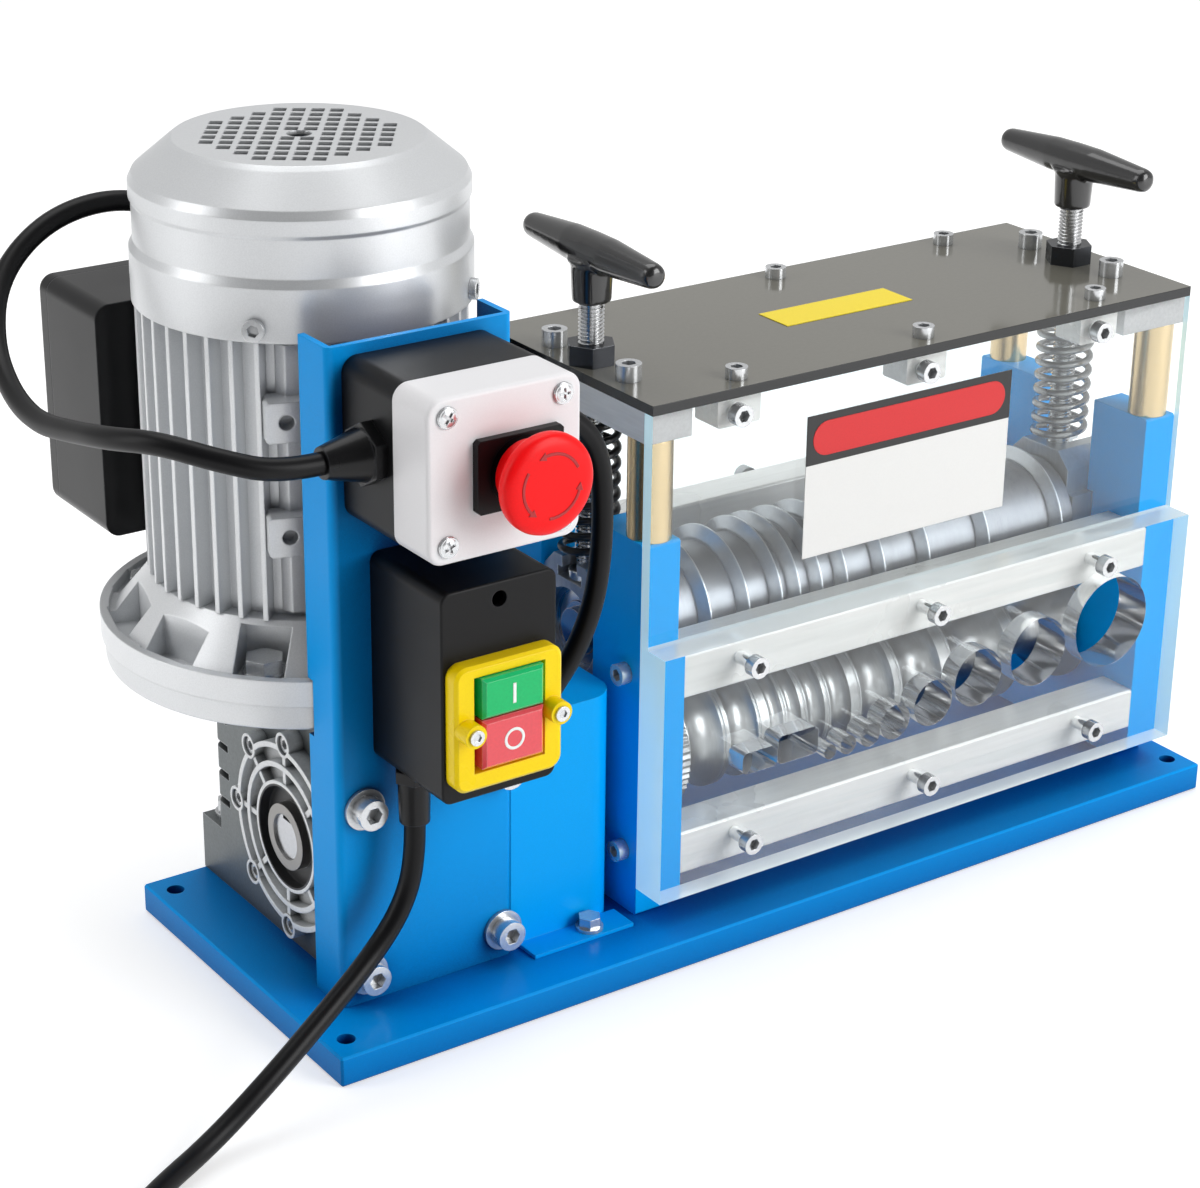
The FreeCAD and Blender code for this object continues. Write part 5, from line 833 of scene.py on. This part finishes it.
@dataclass
class Studio:
    """Floor, soft lights and the camera at the photograph's place."""

    camera_place: Point = (-655.55 * MM, -861.33 * MM, 576.16 * MM)
    yaw: float = 35.11
    pitch: float = 23.13
    roll: float = 0.744
    lens: float = 87.707
    sensor: float = 36.0
    floor_side: float = 12.0
    floor_z: float = -0.2 * MM
    floor_tone: float = 0.86
    floor_rough: float = 0.7
    floor_specular: float = 0.1
    floor_glow: float = 0.45
    world_bright: float = 0.62
    world_dark: float = 0.16
    dark_side: Point = (-0.50, -0.80, 0.33)
    aim: Point = (0.0, 0.0, 0.12)
    lamps: tuple[Lamp, ...] = (Lamp("front lamp", (0.9, -1.8, 0.9), (1.1, 1.5), 30.0),
                               Lamp("left lamp", (-1.8, 0.6, 0.9), (0.7, 1.7), 10.0),
                               Lamp("top lamp", (0.2, 0.5, 1.9), (1.6, 1.2), 12.0))

    def camera(self) -> None:
        """Set the camera where the photograph was taken from."""
        yaw, pitch, roll = (math.radians(angle) for angle in (self.yaw, self.pitch, self.roll))
        ahead = Vector((math.sin(yaw) * math.cos(pitch), math.cos(yaw) * math.cos(pitch), -math.sin(pitch)))
        level = Vector((math.cos(yaw), -math.sin(yaw), 0.0))
        over = level.cross(ahead)
        right = level * math.cos(roll) + over * math.sin(roll)
        up = over * math.cos(roll) - level * math.sin(roll)
        data = bpy.data.cameras.new("camera")
        data.lens = self.lens
        data.sensor_width = self.sensor
        data.clip_end = 50.0
        camera = Bench.put("camera", data)
        turn = Matrix((right, up, -ahead)).transposed().to_4x4()
        camera.matrix_world = Matrix.Translation(self.camera_place) @ turn
        bpy.context.scene.camera = camera

    def floor(self) -> None:
        """Lay the pale floor."""
        Bench.free()
        bpy.ops.mesh.primitive_plane_add(size=self.floor_side, location=(0.0, 0.0, self.floor_z))
        floor = Bench.settle(bpy.context.object, "floor")
        material, graph, shader = blank_material("pale floor")
        ray = graph.add("ShaderNodeLightPath")
        seen = graph.math("MAXIMUM", ray.outputs["Is Camera Ray"], ray.outputs["Is Transmission Ray"])
        seen = graph.math("MAXIMUM", seen, ray.outputs["Is Glossy Ray"])
        tone = (self.floor_tone, self.floor_tone, self.floor_tone, 1.0)
        graph.fill(shader, {"Base Color": tone, "Roughness": self.floor_rough,
                            "Specular IOR Level": self.floor_specular, "Emission Color": WHITE,
                            "Emission Strength": graph.math("MULTIPLY", seen, self.floor_glow)})
        floor.data.materials.append(material)

    def world(self) -> None:
        """Light the scene softly, darker from the front, and keep the background white."""
        world = bpy.data.worlds.new("studio")
        world.use_nodes = True
        bpy.context.scene.world = world
        graph = Graph(world.node_tree)
        output = next(node for node in world.node_tree.nodes if node.type == "OUTPUT_WORLD")
        soft = next(node for node in world.node_tree.nodes if node.type == "BACKGROUND")
        place = graph.add("ShaderNodeTexCoord")
        facing = graph.add("ShaderNodeVectorMath", {0: place.outputs["Generated"], 1: self.dark_side},
                           operation="DOT_PRODUCT")
        strength = graph.ramp(facing.outputs["Value"], 0.0, 0.9, self.world_bright, self.world_dark)
        graph.fill(soft, {"Color": WHITE, "Strength": strength})
        white = graph.add("ShaderNodeBackground", {"Color": WHITE, "Strength": 1.0})
        ray = graph.add("ShaderNodeLightPath")
        seen = graph.math("MAXIMUM", ray.outputs["Is Camera Ray"], ray.outputs["Is Transmission Ray"])
        both = graph.add("ShaderNodeMixShader", {0: seen, 1: soft.outputs["Background"],
                                                 2: white.outputs["Background"]})
        graph.fill(output, {"Surface": both.outputs["Shader"]})

    def build(self) -> None:
        """Set up the camera, the floor, the world and the lamps."""
        scene = bpy.context.scene
        scene.view_settings.view_transform = "Standard"
        self.camera()
        self.floor()
        self.world()
        for lamp in self.lamps:
            lamp.hang(self.aim)


@dataclass
class Lead:
    """A round lead on one smooth spline through given points, in millimetres."""

    name: str
    points: list[Point]
    length: float
    far_end: str
    replaces: tuple[str, ...]
    diameter: float = 8.0 * MM
    lay: str = "loose"
    slot: str = "cord_rubber"

    def build(self, paint: Paint, with_pieces: tuple[str, ...] = ()) -> bpy.types.Object:
        """Args:
            paint: the finishes.
            with_pieces: what is on the lead; not used.

        Returns:
            The lead's curve.
        """
        route = [(x * MM, y * MM, z * MM) for x, y, z in self.points]
        lead = Bench.tube(self.name, route, self.diameter / 2, 6, 8)
        paint.dress(lead, Look.JACKET)
        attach(lead, "frame")
        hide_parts(*self.replaces)
        return lead


@dataclass
class Leads:
    """The motor lead, the link between the two control boxes, and the mains lead with its coil."""

    motor: list[Point] = field(default_factory=lambda: [
        (-151.0, 122.0, 258.5), (-168.0, 122.0, 271.5), (-193.0, 121.5, 279.0), (-221.0, 119.0, 274.5),
        (-245.0, 109.0, 259.5), (-258.0, 87.0, 242.0), (-264.0, 59.0, 232.0), (-267.0, 31.0, 230.5),
        (-267.5, 3.0, 236.0), (-267.0, -25.0, 242.0), (-259.5, -46.0, 245.5), (-245.5, -60.3, 241.0),
        (-227.5, -68.0, 235.3), (-211.0, -68.0, 235.3)])
    link: list[Point] = field(default_factory=lambda: [
        (-125.5, -66.0, 236.0), (-119.5, -66.0, 236.0), (-110.0, -66.0, 231.4), (-101.6, -66.2, 223.0),
        (-97.2, -66.5, 212.0), (-96.3, -67.0, 197.0), (-97.0, -67.5, 178.5), (-100.0, -67.8, 160.0),
        (-106.5, -67.0, 143.0), (-116.0, -66.0, 129.5), (-126.0, -66.0, 119.0)])
    mains: list[Point] = field(default_factory=lambda: [
        (-174.0, -63.0, 90.0), (-174.0, -63.0, 73.0), (-181.0, -64.0, 55.5), (-197.0, -67.0, 41.0),
        (-220.0, -75.5, 31.0), (-247.0, -85.0, 19.5), (-274.0, -90.0, 5.2), (-302.0, -104.0, 4.5),
        (-329.0, -123.0, 4.5), (-352.0, -138.2, 4.5)])
    motor_length: float = 0.328
    link_length: float = 0.1412
    mains_length: float = 1.556
    turns: int = 4
    inner_radius: float = 42.0
    lead_in: float = 8.0
    step: float = 8.8
    tail: float = 34.0
    points_per_turn: int = 24

    def coil(self) -> list[Point]:
        """Wind the put-away length in on the floor and out again on top.

        Returns:
            The coil's control points and the tail's, in millimetres.
        """
        start = Vector(self.mains[-1])
        ahead = (start - Vector(self.mains[-2])).normalized()
        outer = self.inner_radius + self.step * self.turns / 2
        first = start + ahead * self.lead_in
        centre = first + Vector((-ahead.y, ahead.x, 0.0)) * outer
        angle = math.atan2(first.y - centre.y, first.x - centre.x)
        steps = self.turns * self.points_per_turn
        half = steps // 2
        places = []
        for index in range(steps + 1):
            wound = min(index, steps - index)
            radius = outer - self.step * wound / self.points_per_turn
            climb = min(max((index - half) / (self.points_per_turn / 2) + 0.5, 0.0), 1.0) * self.step
            turn = angle + 2.0 * math.pi * index / self.points_per_turn
            across = radius * math.cos(turn)
            along = radius * math.sin(turn)
            places.append((centre.x + across, centre.y + along, centre.z + climb))
        last = Vector(places[-1])
        places.extend(tuple(last + ahead * share) for share in (self.tail / 2, self.tail))
        return places

    def build(self, paint: Paint) -> None:
        """Make every lead.

        Args:
            paint: the finishes.
        """
        Lead("motor_cable", self.motor, self.motor_length, "object", ("motor_lead",)).build(paint)
        Lead("link_cable", self.link, self.link_length, "object", ("link_lead",)).build(paint)
        route = self.mains + self.coil()
        Lead("mains_cable", route, self.mains_length, "plug", ("mains_lead", "mains_coil"),
             lay="coiled").build(paint, ("mains_plug",))


@dataclass
class Springs:
    """The two pressure springs between the blocks and the beams."""

    wire: float = 3.0 * MM
    outer_radius: float = 12.5 * MM
    turns: float = 9.5
    points_per_turn: int = 14
    gap: float = 0.3 * MM
    places: tuple[float, float] = (-57.0 * MM, 187.0 * MM)
    travel: float = 25.0 * MM

    def coil(self, name: str, x: float, low: float, high: float) -> bpy.types.Object:
        """Wind one spring.

        Args:
            name: the spring's name.
            x: where its axis stands.
            low: height of its lower end.
            high: height of its upper end.

        Returns:
            The spring as a mesh.
        """
        mean = self.outer_radius - self.wire / 2
        bottom = low + self.gap + self.wire / 2
        rise = high - self.gap - self.wire / 2 - bottom
        count = int(self.turns * self.points_per_turn)
        points = []
        for index in range(count + 1):
            angle = 2.0 * math.pi * index / self.points_per_turn
            points.append((x + mean * math.cos(angle), HEAD_MIDDLE_Y + mean * math.sin(angle),
                           bottom + rise * index / count))
        curve = Bench.tube(name, points, self.wire / 2, 4, 3)
        Bench.pick(curve)
        bpy.ops.object.convert(target="MESH")
        piece = bpy.context.object
        bpy.ops.object.shade_smooth()
        return piece

    def build(self, paint: Paint) -> None:
        """Make both springs, black on the left and bright on the right.

        Args:
            paint: the finishes.
        """
        low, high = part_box("pressure_springs")
        wires = (Look.BLACK_WIRE, Look.GREY_WIRE)
        for name, x, look in zip(("left_spring", "right_spring"), self.places, wires):
            piece = self.coil(name, x, low.z - self.gap, high.z + self.gap)
            paint.dress(piece, look)
            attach(piece, "frame")
            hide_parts("pressure_springs")
            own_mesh(piece)


@dataclass
class AdjustingScrews:
    """Threaded rods with their collars, and moulded T handles."""

    radius: float = 5.0 * MM
    root: float = 4.2 * MM
    pitch: float = 1.5 * MM
    collar_radius: float = 8.0 * MM
    collar_edge: float = 0.4 * MM
    collar_height: float = 4.0 * MM
    bar_length: float = 85.0 * MM
    bar_middle: float = 7.2 * MM
    bar_end: float = 4.9 * MM
    hub_radius: float = 8.5 * MM
    voxel: float = 0.55 * MM

    def rod(self, side: str) -> bpy.types.Object:
        """Cut the thread of one screw.

        Args:
            side: left or right.

        Returns:
            The rod with its collar.
        """
        low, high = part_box(f"adjusting_screw_{side}")
        x = (low.x + high.x) / 2
        start = low.z + self.collar_height
        turns = int((high.z - start) / self.pitch)
        mesh = bpy.data.meshes.new("thread")
        flat = self.pitch / 8
        middle = self.pitch / 2
        outline = [(self.root, 0, 0), (self.root, 0, flat), (self.radius, 0, middle - flat / 2),
                   (self.radius, 0, middle + flat / 2), (self.root, 0, self.pitch)]
        mesh.from_pydata(outline, [(0, 1), (1, 2), (2, 3), (3, 4)], [])
        thread = Bench.put("thread", mesh)
        Bench.modify(thread, "SCREW", screw_offset=self.pitch, iterations=turns, steps=28,
                     use_merge_vertices=True, merge_threshold=0.005 * MM)
        bpy.ops.object.shade_smooth_by_angle(angle=math.radians(25.0))
        Bench.move(thread, Matrix.Translation((0.0, 0.0, start)))
        collar = self.collar_radius
        edge = self.collar_edge
        inside = self.root + 0.05 * MM
        core = Bench.lathe("core", [(0.0, low.z), (collar - edge, low.z), (collar, low.z + edge),
                                    (collar, start - edge), (collar - edge, start), (inside, start),
                                    (inside, high.z), (0.0, high.z)])
        piece = Bench.join(f"{side}_threaded_rod", [core, thread])
        return Bench.move(piece, Matrix.Translation((x, HEAD_MIDDLE_Y, 0.0)))

    def handle(self, side: str) -> bpy.types.Object:
        """Mould one T handle: a tapered bar blended into its hub.

        Args:
            side: left or right.

        Returns:
            The handle.
        """
        low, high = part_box(f"t_handle_{side}")
        x = (low.x + high.x) / 2
        half = self.bar_length / 2
        bar_z = high.z - self.bar_middle
        spare = max((high.x - low.x) / 2 - self.hub_radius, 0.0)
        lean = math.asin(min(spare / (half - self.bar_end), 1.0)) if side == "left" else 0.0
        end = [(self.bar_end * 0.55, 0.2 * MM), (self.bar_end * 0.88, 1.3 * MM), (self.bar_end, 3.2 * MM)]
        middle = [(self.bar_middle * 0.98, -12.0 * MM), (self.bar_middle, 0.0),
                  (self.bar_middle * 0.98, 12.0 * MM)]
        outline = [(0.0, -half)] + [(radius, depth - half) for radius, depth in end] + middle
        outline += [(radius, half - depth) for radius, depth in reversed(end)] + [(0.0, half)]
        bar = Bench.lathe("bar", outline)
        Bench.move(bar, Matrix.Translation((0, 0, bar_z)) @ Matrix.Rotation(-lean, 4, "Z")
                   @ Matrix.Rotation(math.radians(-90.0), 4, "X"))
        hub = Bench.lathe("hub", [(0.0, low.z), (self.hub_radius - 1.6 * MM, low.z),
                                  (self.hub_radius - 1.0 * MM, low.z + 0.6 * MM),
                                  (self.hub_radius - 0.4 * MM, bar_z - self.bar_middle * 0.8),
                                  (self.hub_radius + 1.2 * MM, bar_z - self.bar_middle * 0.45), (0.0, bar_z)])
        piece = Bench.join(f"{side}_handle", [bar, hub])
        Bench.modify(piece, "REMESH", mode="VOXEL", voxel_size=self.voxel)
        Bench.modify(piece, "SMOOTH", factor=0.5, iterations=8)
        bpy.ops.object.shade_smooth()
        return Bench.move(piece, Matrix.Translation((x, HEAD_MIDDLE_Y, 0.0)))

    def build(self, paint: Paint) -> None:
        """Make the rods and the handles of both screws.

        Args:
            paint: the finishes.
        """
        for side in ("left", "right"):
            rod = self.rod(side)
            paint.dress(rod, Look.THREAD)
            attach(rod, f"{side}_screw")
            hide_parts(f"adjusting_screw_{side}")
            handle = self.handle(side)
            paint.dress(handle, Look.HANDLE)
            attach(handle, f"{side}_screw")
            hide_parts(f"t_handle_{side}")


@dataclass
class Guards:
    """The clear guards, with lit ends and rims and polished bores."""

    nodes: tuple[str, ...] = ("front_upper_guard", "front_lower_guard", "rear_guard")

    @staticmethod
    def sort_faces(piece: bpy.types.Object, low: Vector, high: Vector) -> None:
        """Give each face its finish by where it faces and lies.

        Args:
            piece: the guard.
            low: its lowest corner.
            high: its highest corner.
        """
        near = 0.05 * MM
        for face in piece.data.polygons:
            on_end = abs(face.center.x - low.x) < near or abs(face.center.x - high.x) < near
            on_rim = abs(face.center.z - low.z) < near or abs(face.center.z - high.z) < near
            if abs(face.normal.y) > 0.9:
                face.material_index = 0
            elif on_end:
                face.material_index = 1
            elif on_rim:
                face.material_index = 2
            else:
                face.material_index = 3

    def build(self, paint: Paint, nodes: dict[str, bpy.types.Object]) -> None:
        """Replace each guard with a merged copy in four finishes.

        Args:
            paint: the finishes.
            nodes: the solids by name.
        """
        for name in self.nodes:
            low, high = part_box(name)
            piece = Bench.merged(nodes[name], f"{name}_sheet")
            paint.dress(piece, Look.CLEAR, Look.CLEAR_END, Look.CLEAR_RIM, Look.CLEAR_BORE)
            self.sort_faces(piece, low, high)
            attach(piece, "frame")
            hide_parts(name)


@dataclass
class Labels:
    """The bare card on the upper guard with its band and bar, and the bare yellow strip on top.

    Spans are the lowest and the highest value along an axis.
    """

    card_x: tuple[float, float] = (5.0 * MM, 108.0 * MM)
    card_z: tuple[float, float] = (148.0 * MM, 206.0 * MM)
    strip_x: tuple[float, float] = (32.0 * MM, 96.0 * MM)
    strip_y: tuple[float, float] = (-8.5 * MM, 10.0 * MM)
    thick: float = 0.3 * MM
    card_edge: float = 0.1 * MM
    band_height: float = 20.0 * MM
    bar_margin: float = 3.0 * MM
    print_thick: float = 0.12 * MM

    def build(self, paint: Paint) -> None:
        """Make both labels.

        Args:
            paint: the finishes.
        """
        _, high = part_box("blank_labels")
        guard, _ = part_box("front_upper_guard")
        back = guard.y - self.thick
        front = back - self.print_thick
        left, right = self.card_x
        bottom, top = self.card_z
        card = Bench.slab("guard_card", Vector((left, back, bottom)), Vector((right, guard.y, top)),
                          self.card_edge)
        paint.dress(card, Look.CARD)
        band = Bench.slab("card_band", Vector((left, front, top - self.band_height)),
                          Vector((right, back, top)))
        paint.dress(band, Look.CARD_BAND)
        trim = 2.0 * self.bar_margin
        bar = self.pill("card_bar", right - left - trim, self.band_height - trim)
        place = Matrix.Translation(((left + right) / 2, front, top - self.band_height / 2))
        Bench.move(bar, place @ FACE_FRONT)
        paint.dress(bar, Look.CARD_BAR)
        strip = Bench.slab("top_strip", Vector((self.strip_x[0], self.strip_y[0], high.z - self.thick)),
                           Vector((self.strip_x[1], self.strip_y[1], high.z)), self.card_edge)
        paint.dress(strip, Look.YELLOW_STRIP)
        for piece in (card, band, bar, strip):
            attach(piece, "frame")
        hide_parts("blank_labels")

    def pill(self, name: str, length: float, width: float) -> bpy.types.Object:
        """Make a thin strip with round ends.

        Args:
            name: the strip's name.
            length: its whole length, along X.
            width: its width, along Y.

        Returns:
            The strip, standing on Z = 0.
        """
        radius = width / 2
        steps = 12
        points = []
        for side in (1, -1):
            for index in range(steps + 1):
                angle = math.pi * (index / steps - 0.5)
                across = side * (length / 2 - radius + radius * math.cos(angle))
                points.append((across, side * radius * math.sin(angle)))
        return Bench.prism(name, points, 0.0, self.print_thick)


@dataclass
class StopButton:
    """The mushroom head of the emergency stop, with its turning arrows."""

    radius: float = 17.7 * MM
    neck: float = 11.8 * MM
    arrow_radius: float = 11.2 * MM
    arrow_width: float = 1.0 * MM
    arrow_rise: float = 0.15 * MM
    arrow_sink: float = 0.2 * MM
    arrow_sweep: float = 78.0
    tip_sweep: float = 14.0
    first_arrow: float = 25.0

    def build(self, paint: Paint) -> None:
        """Make the head and three curved arrows on its face.

        Args:
            paint: the finishes.
        """
        low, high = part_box("estop_button")
        centre = (low + high) / 2
        deep = high.y - low.y
        wide = self.radius
        head = Bench.lathe("stop_mushroom_head", [
            (0.0, -deep), (self.neck, -deep), (self.neck, -7.8 * MM), (self.neck + 0.3 * MM, -7.6 * MM),
            (wide - 1.8 * MM, -6.8 * MM), (wide - 0.9 * MM, -6.3 * MM), (wide - 0.2 * MM, -5.4 * MM),
            (wide, -4.6 * MM), (wide, -2.8 * MM), (wide - 0.3 * MM, -1.8 * MM), (wide - 1.1 * MM, -1.0 * MM),
            (wide - 2.4 * MM, -0.45 * MM), (wide - 4.5 * MM, -0.1 * MM), (wide * 0.5, 0.0), (0.0, 0.0)], 72)
        facing = Matrix.Translation((centre.x, low.y, centre.z)) @ FACE_FRONT
        Bench.move(head, facing)
        paint.dress(head, Look.MUSHROOM)
        arrows = [self.arrow(f"arrow_{index}", self.first_arrow + 120.0 * index) for index in range(3)]
        arrow = Bench.move(Bench.join("stop_mushroom_arrows", arrows), facing)
        paint.dress(arrow, Look.ARROW)
        for piece in (head, arrow):
            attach(piece, "stop_mushroom")
        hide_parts("estop_button")

    def arrow(self, name: str, start: float) -> bpy.types.Object:
        """Draw one curved arrow as a thin raised strip.

        Args:
            name: the strip's name.
            start: the angle where its tail begins, in degrees.

        Returns:
            The strip, facing +Z.
        """
        inner = self.arrow_radius - self.arrow_width / 2
        outer = self.arrow_radius + self.arrow_width / 2
        steps = 14
        angles = [math.radians(start + self.arrow_sweep * index / steps) for index in range(steps + 1)]
        tip = math.radians(start + self.arrow_sweep + self.tip_sweep)
        outline = [(inner, angle) for angle in angles]
        outline.append((inner - self.arrow_width, angles[-1]))
        outline.append((self.arrow_radius, tip))
        outline.append((outer + self.arrow_width, angles[-1]))
        outline.extend((outer, angle) for angle in reversed(angles))
        points = [(radius * math.cos(angle), radius * math.sin(angle)) for radius, angle in outline]
        return Bench.prism(name, points, -self.arrow_sink, self.arrow_rise)


@dataclass
class CoverScrews:
    """Cross-headed screws in the corners of the stop's white cover."""

    radius: float = 3.9 * MM
    rise: float = 1.5 * MM
    slot_width: float = 1.0 * MM
    slot_length: float = 4.6 * MM
    side_inset: float = 7.6 * MM
    end_inset: float = 6.6 * MM

    def build(self, paint: Paint) -> None:
        """Make the four heads, each cut with a cross.

        Args:
            paint: the finishes.
        """
        low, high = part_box("estop_cover")
        heads = []
        for column, x in enumerate((low.x + self.side_inset, high.x - self.side_inset)):
            for row, z in enumerate((low.z + self.end_inset, high.z - self.end_inset)):
                turn = 20.0 + 35.0 * (column + row)
                heads.append(self.head(f"cover_screw_{column}{row}", x, low.y, z, turn))
        piece = Bench.join("stop_cover_screws", heads)
        paint.dress(piece, Look.ZINC)
        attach(piece, "frame")

    def head(self, name: str, x: float, y: float, z: float, turn: float) -> bpy.types.Object:
        """Make one domed head with a cross cut into it.

        Args:
            name: its name.
            x: where it sits along X.
            y: the face that it sits on.
            z: its height.
            turn: how far its cross is turned, in degrees.

        Returns:
            The head.
        """
        dome = Bench.lathe(name, [(0.0, 0.0), (self.radius, 0.0), (self.radius, self.rise * 0.45),
                                  (self.radius * 0.8, self.rise * 0.85), (self.radius * 0.4, self.rise),
                                  (0.0, self.rise)], 28)
        half = self.slot_length / 2
        wide = self.slot_width / 2
        for swap in (False, True):
            reach = Vector((wide, half, self.rise)) if swap else Vector((half, wide, self.rise))
            cutter = Bench.slab("cutter", Vector((-reach.x, -reach.y, self.rise * 0.5)),
                                Vector((reach.x, reach.y, self.rise * 1.5)))
            Bench.modify(dome, "BOOLEAN", operation="DIFFERENCE", object=cutter)
            bpy.data.objects.remove(cutter)
        place = Matrix.Translation((x, y, z)) @ FACE_FRONT
        return Bench.move(dome, place @ Matrix.Rotation(math.radians(turn), 4, "Z"))


@dataclass
class PushButtons:
    """The marks on the start and stop keys: a bar and a ring."""

    bar_height: float = 7.5 * MM
    bar_width: float = 1.3 * MM
    ring_radius: float = 3.6 * MM
    ring_width: float = 1.1 * MM
    rise: float = 0.12 * MM

    def build(self, paint: Paint) -> None:
        """Put a bar on the start key and a ring on the stop key.

        Args:
            paint: the finishes.
        """
        low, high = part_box("start_button")
        middle = (low + high) / 2
        half = Vector((self.bar_width / 2, self.rise, self.bar_height / 2))
        face = Vector((middle.x, low.y, middle.z))
        bar = Bench.slab("start_mark", face - half, face + half)
        low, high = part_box("stop_button")
        middle = (low + high) / 2
        outer = self.ring_radius + self.ring_width / 2
        inner = self.ring_radius - self.ring_width / 2
        ring = Bench.lathe("stop_mark", [(inner, -self.rise), (outer, -self.rise), (outer, self.rise),
                                         (inner, self.rise), (inner, -self.rise)], 40)
        Bench.move(ring, Matrix.Translation((middle.x, low.y, middle.z)) @ FACE_FRONT)
        for piece, body, slot in ((bar, "start_key", "green_plastic"), (ring, "stop_key", "red_plastic")):
            paint.dress(piece, Look.KEY_MARK)
            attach(piece, body)


@dataclass
class Dressing:
    """The solids whose shape stays as it is, by finish."""

    looks: dict[Look, tuple[str, ...]] = field(default_factory=lambda: {
        Look.BASE_BLUE: ("base_plate",),
        Look.BLUE: ("left_stand", "right_stand", "coupling_guard"),
        Look.SHADED_BLUE: ("control_bracket",),
        Look.BRIGHT_BAR: ("tie_bars", "guard_brackets"),
        Look.PALE_BEAM: ("head_beams",),
        Look.GOLD_COLUMN: ("head_columns",),
        Look.DARK_PLATE: ("top_plate",),
        Look.RACE: ("shaft_bearings", "upper_bearings", "upper_shaft", "lower_shaft", "worm_shaft"),
        Look.ROUGH_CASTING: ("gearbox_housing",),
        Look.COVER_CASTING: ("gearbox_covers",),
        Look.SILVER: ("input_flange", "fan_cover"),
        Look.BRIGHT_CASTING: ("motor_shield", "motor_housing"),
        Look.LAMINATION: ("motor_stator", "rotor"),
        Look.BLACK_SATIN: ("terminal_box", "terminal_box_lid", "cable_glands", "mains_plug"),
        Look.CAN: ("capacitor",),
        Look.BLACK_MOULDED: ("estop_base", "contact_blocks", "switch_box", "cooling_fan", "estop_stem"),
        Look.WHITE_MOULDED: ("estop_cover",),
        Look.YELLOW_MOULDED: ("switch_frame",),
        Look.ZINC: ("socket_screws", "hex_bolts", "shaft_coupling"),
        Look.DARK_NUT: ("lock_nuts",),
        Look.BLOCK: ("bearing_blocks",),
        Look.BLADE: ("cutter_blades",),
        Look.SPACER: ("blade_spacers",),
        Look.FEED: ("feed_wheels",),
        Look.BRONZE: ("worm_wheel",),
        Look.GREEN_KEY: ("start_button",),
        Look.RED_KEY: ("stop_button",),
    })

    def build(self, paint: Paint, nodes: dict[str, bpy.types.Object]) -> None:
        """Dress every solid that is shown.

        Args:
            paint: the finishes.
            nodes: the solids by name.
        """
        for look, names in self.looks.items():
            for name in names:
                paint.dress(nodes[name], look)


def report(paint: Paint) -> None:
    """Log every dressed piece with its finishes.

    Args:
        paint: the finishes.
    """
    made = list(paint.made.values())
    for piece in sorted(bpy.data.objects, key=lambda item: item.name):
        finishes = [slot.material.name for slot in piece.material_slots if slot.material in made]
        if finishes:
            LOG.info("%s: %s", piece.name, ", ".join(finishes))


def main() -> None:
    """Load the solid model, build the studio and every sub-assembly, report the pieces and their finishes."""
    logging.basicConfig(level=logging.INFO, format="%(message)s")
    for name in ("Cube", "Light", "Camera"):
        if name in bpy.data.objects:
            bpy.data.objects.remove(bpy.data.objects[name])
    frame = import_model()
    nodes = frame["nodes"]
    paint = Paint()
    Studio().build()
    Leads().build(paint)
    Dressing().build(paint, nodes)
    Springs().build(paint)
    AdjustingScrews().build(paint)
    Guards().build(paint, nodes)
    Labels().build(paint)
    StopButton().build(paint)
    CoverScrews().build(paint)
    PushButtons().build(paint)
    report(paint)


if __name__ == "__main__":
    main()
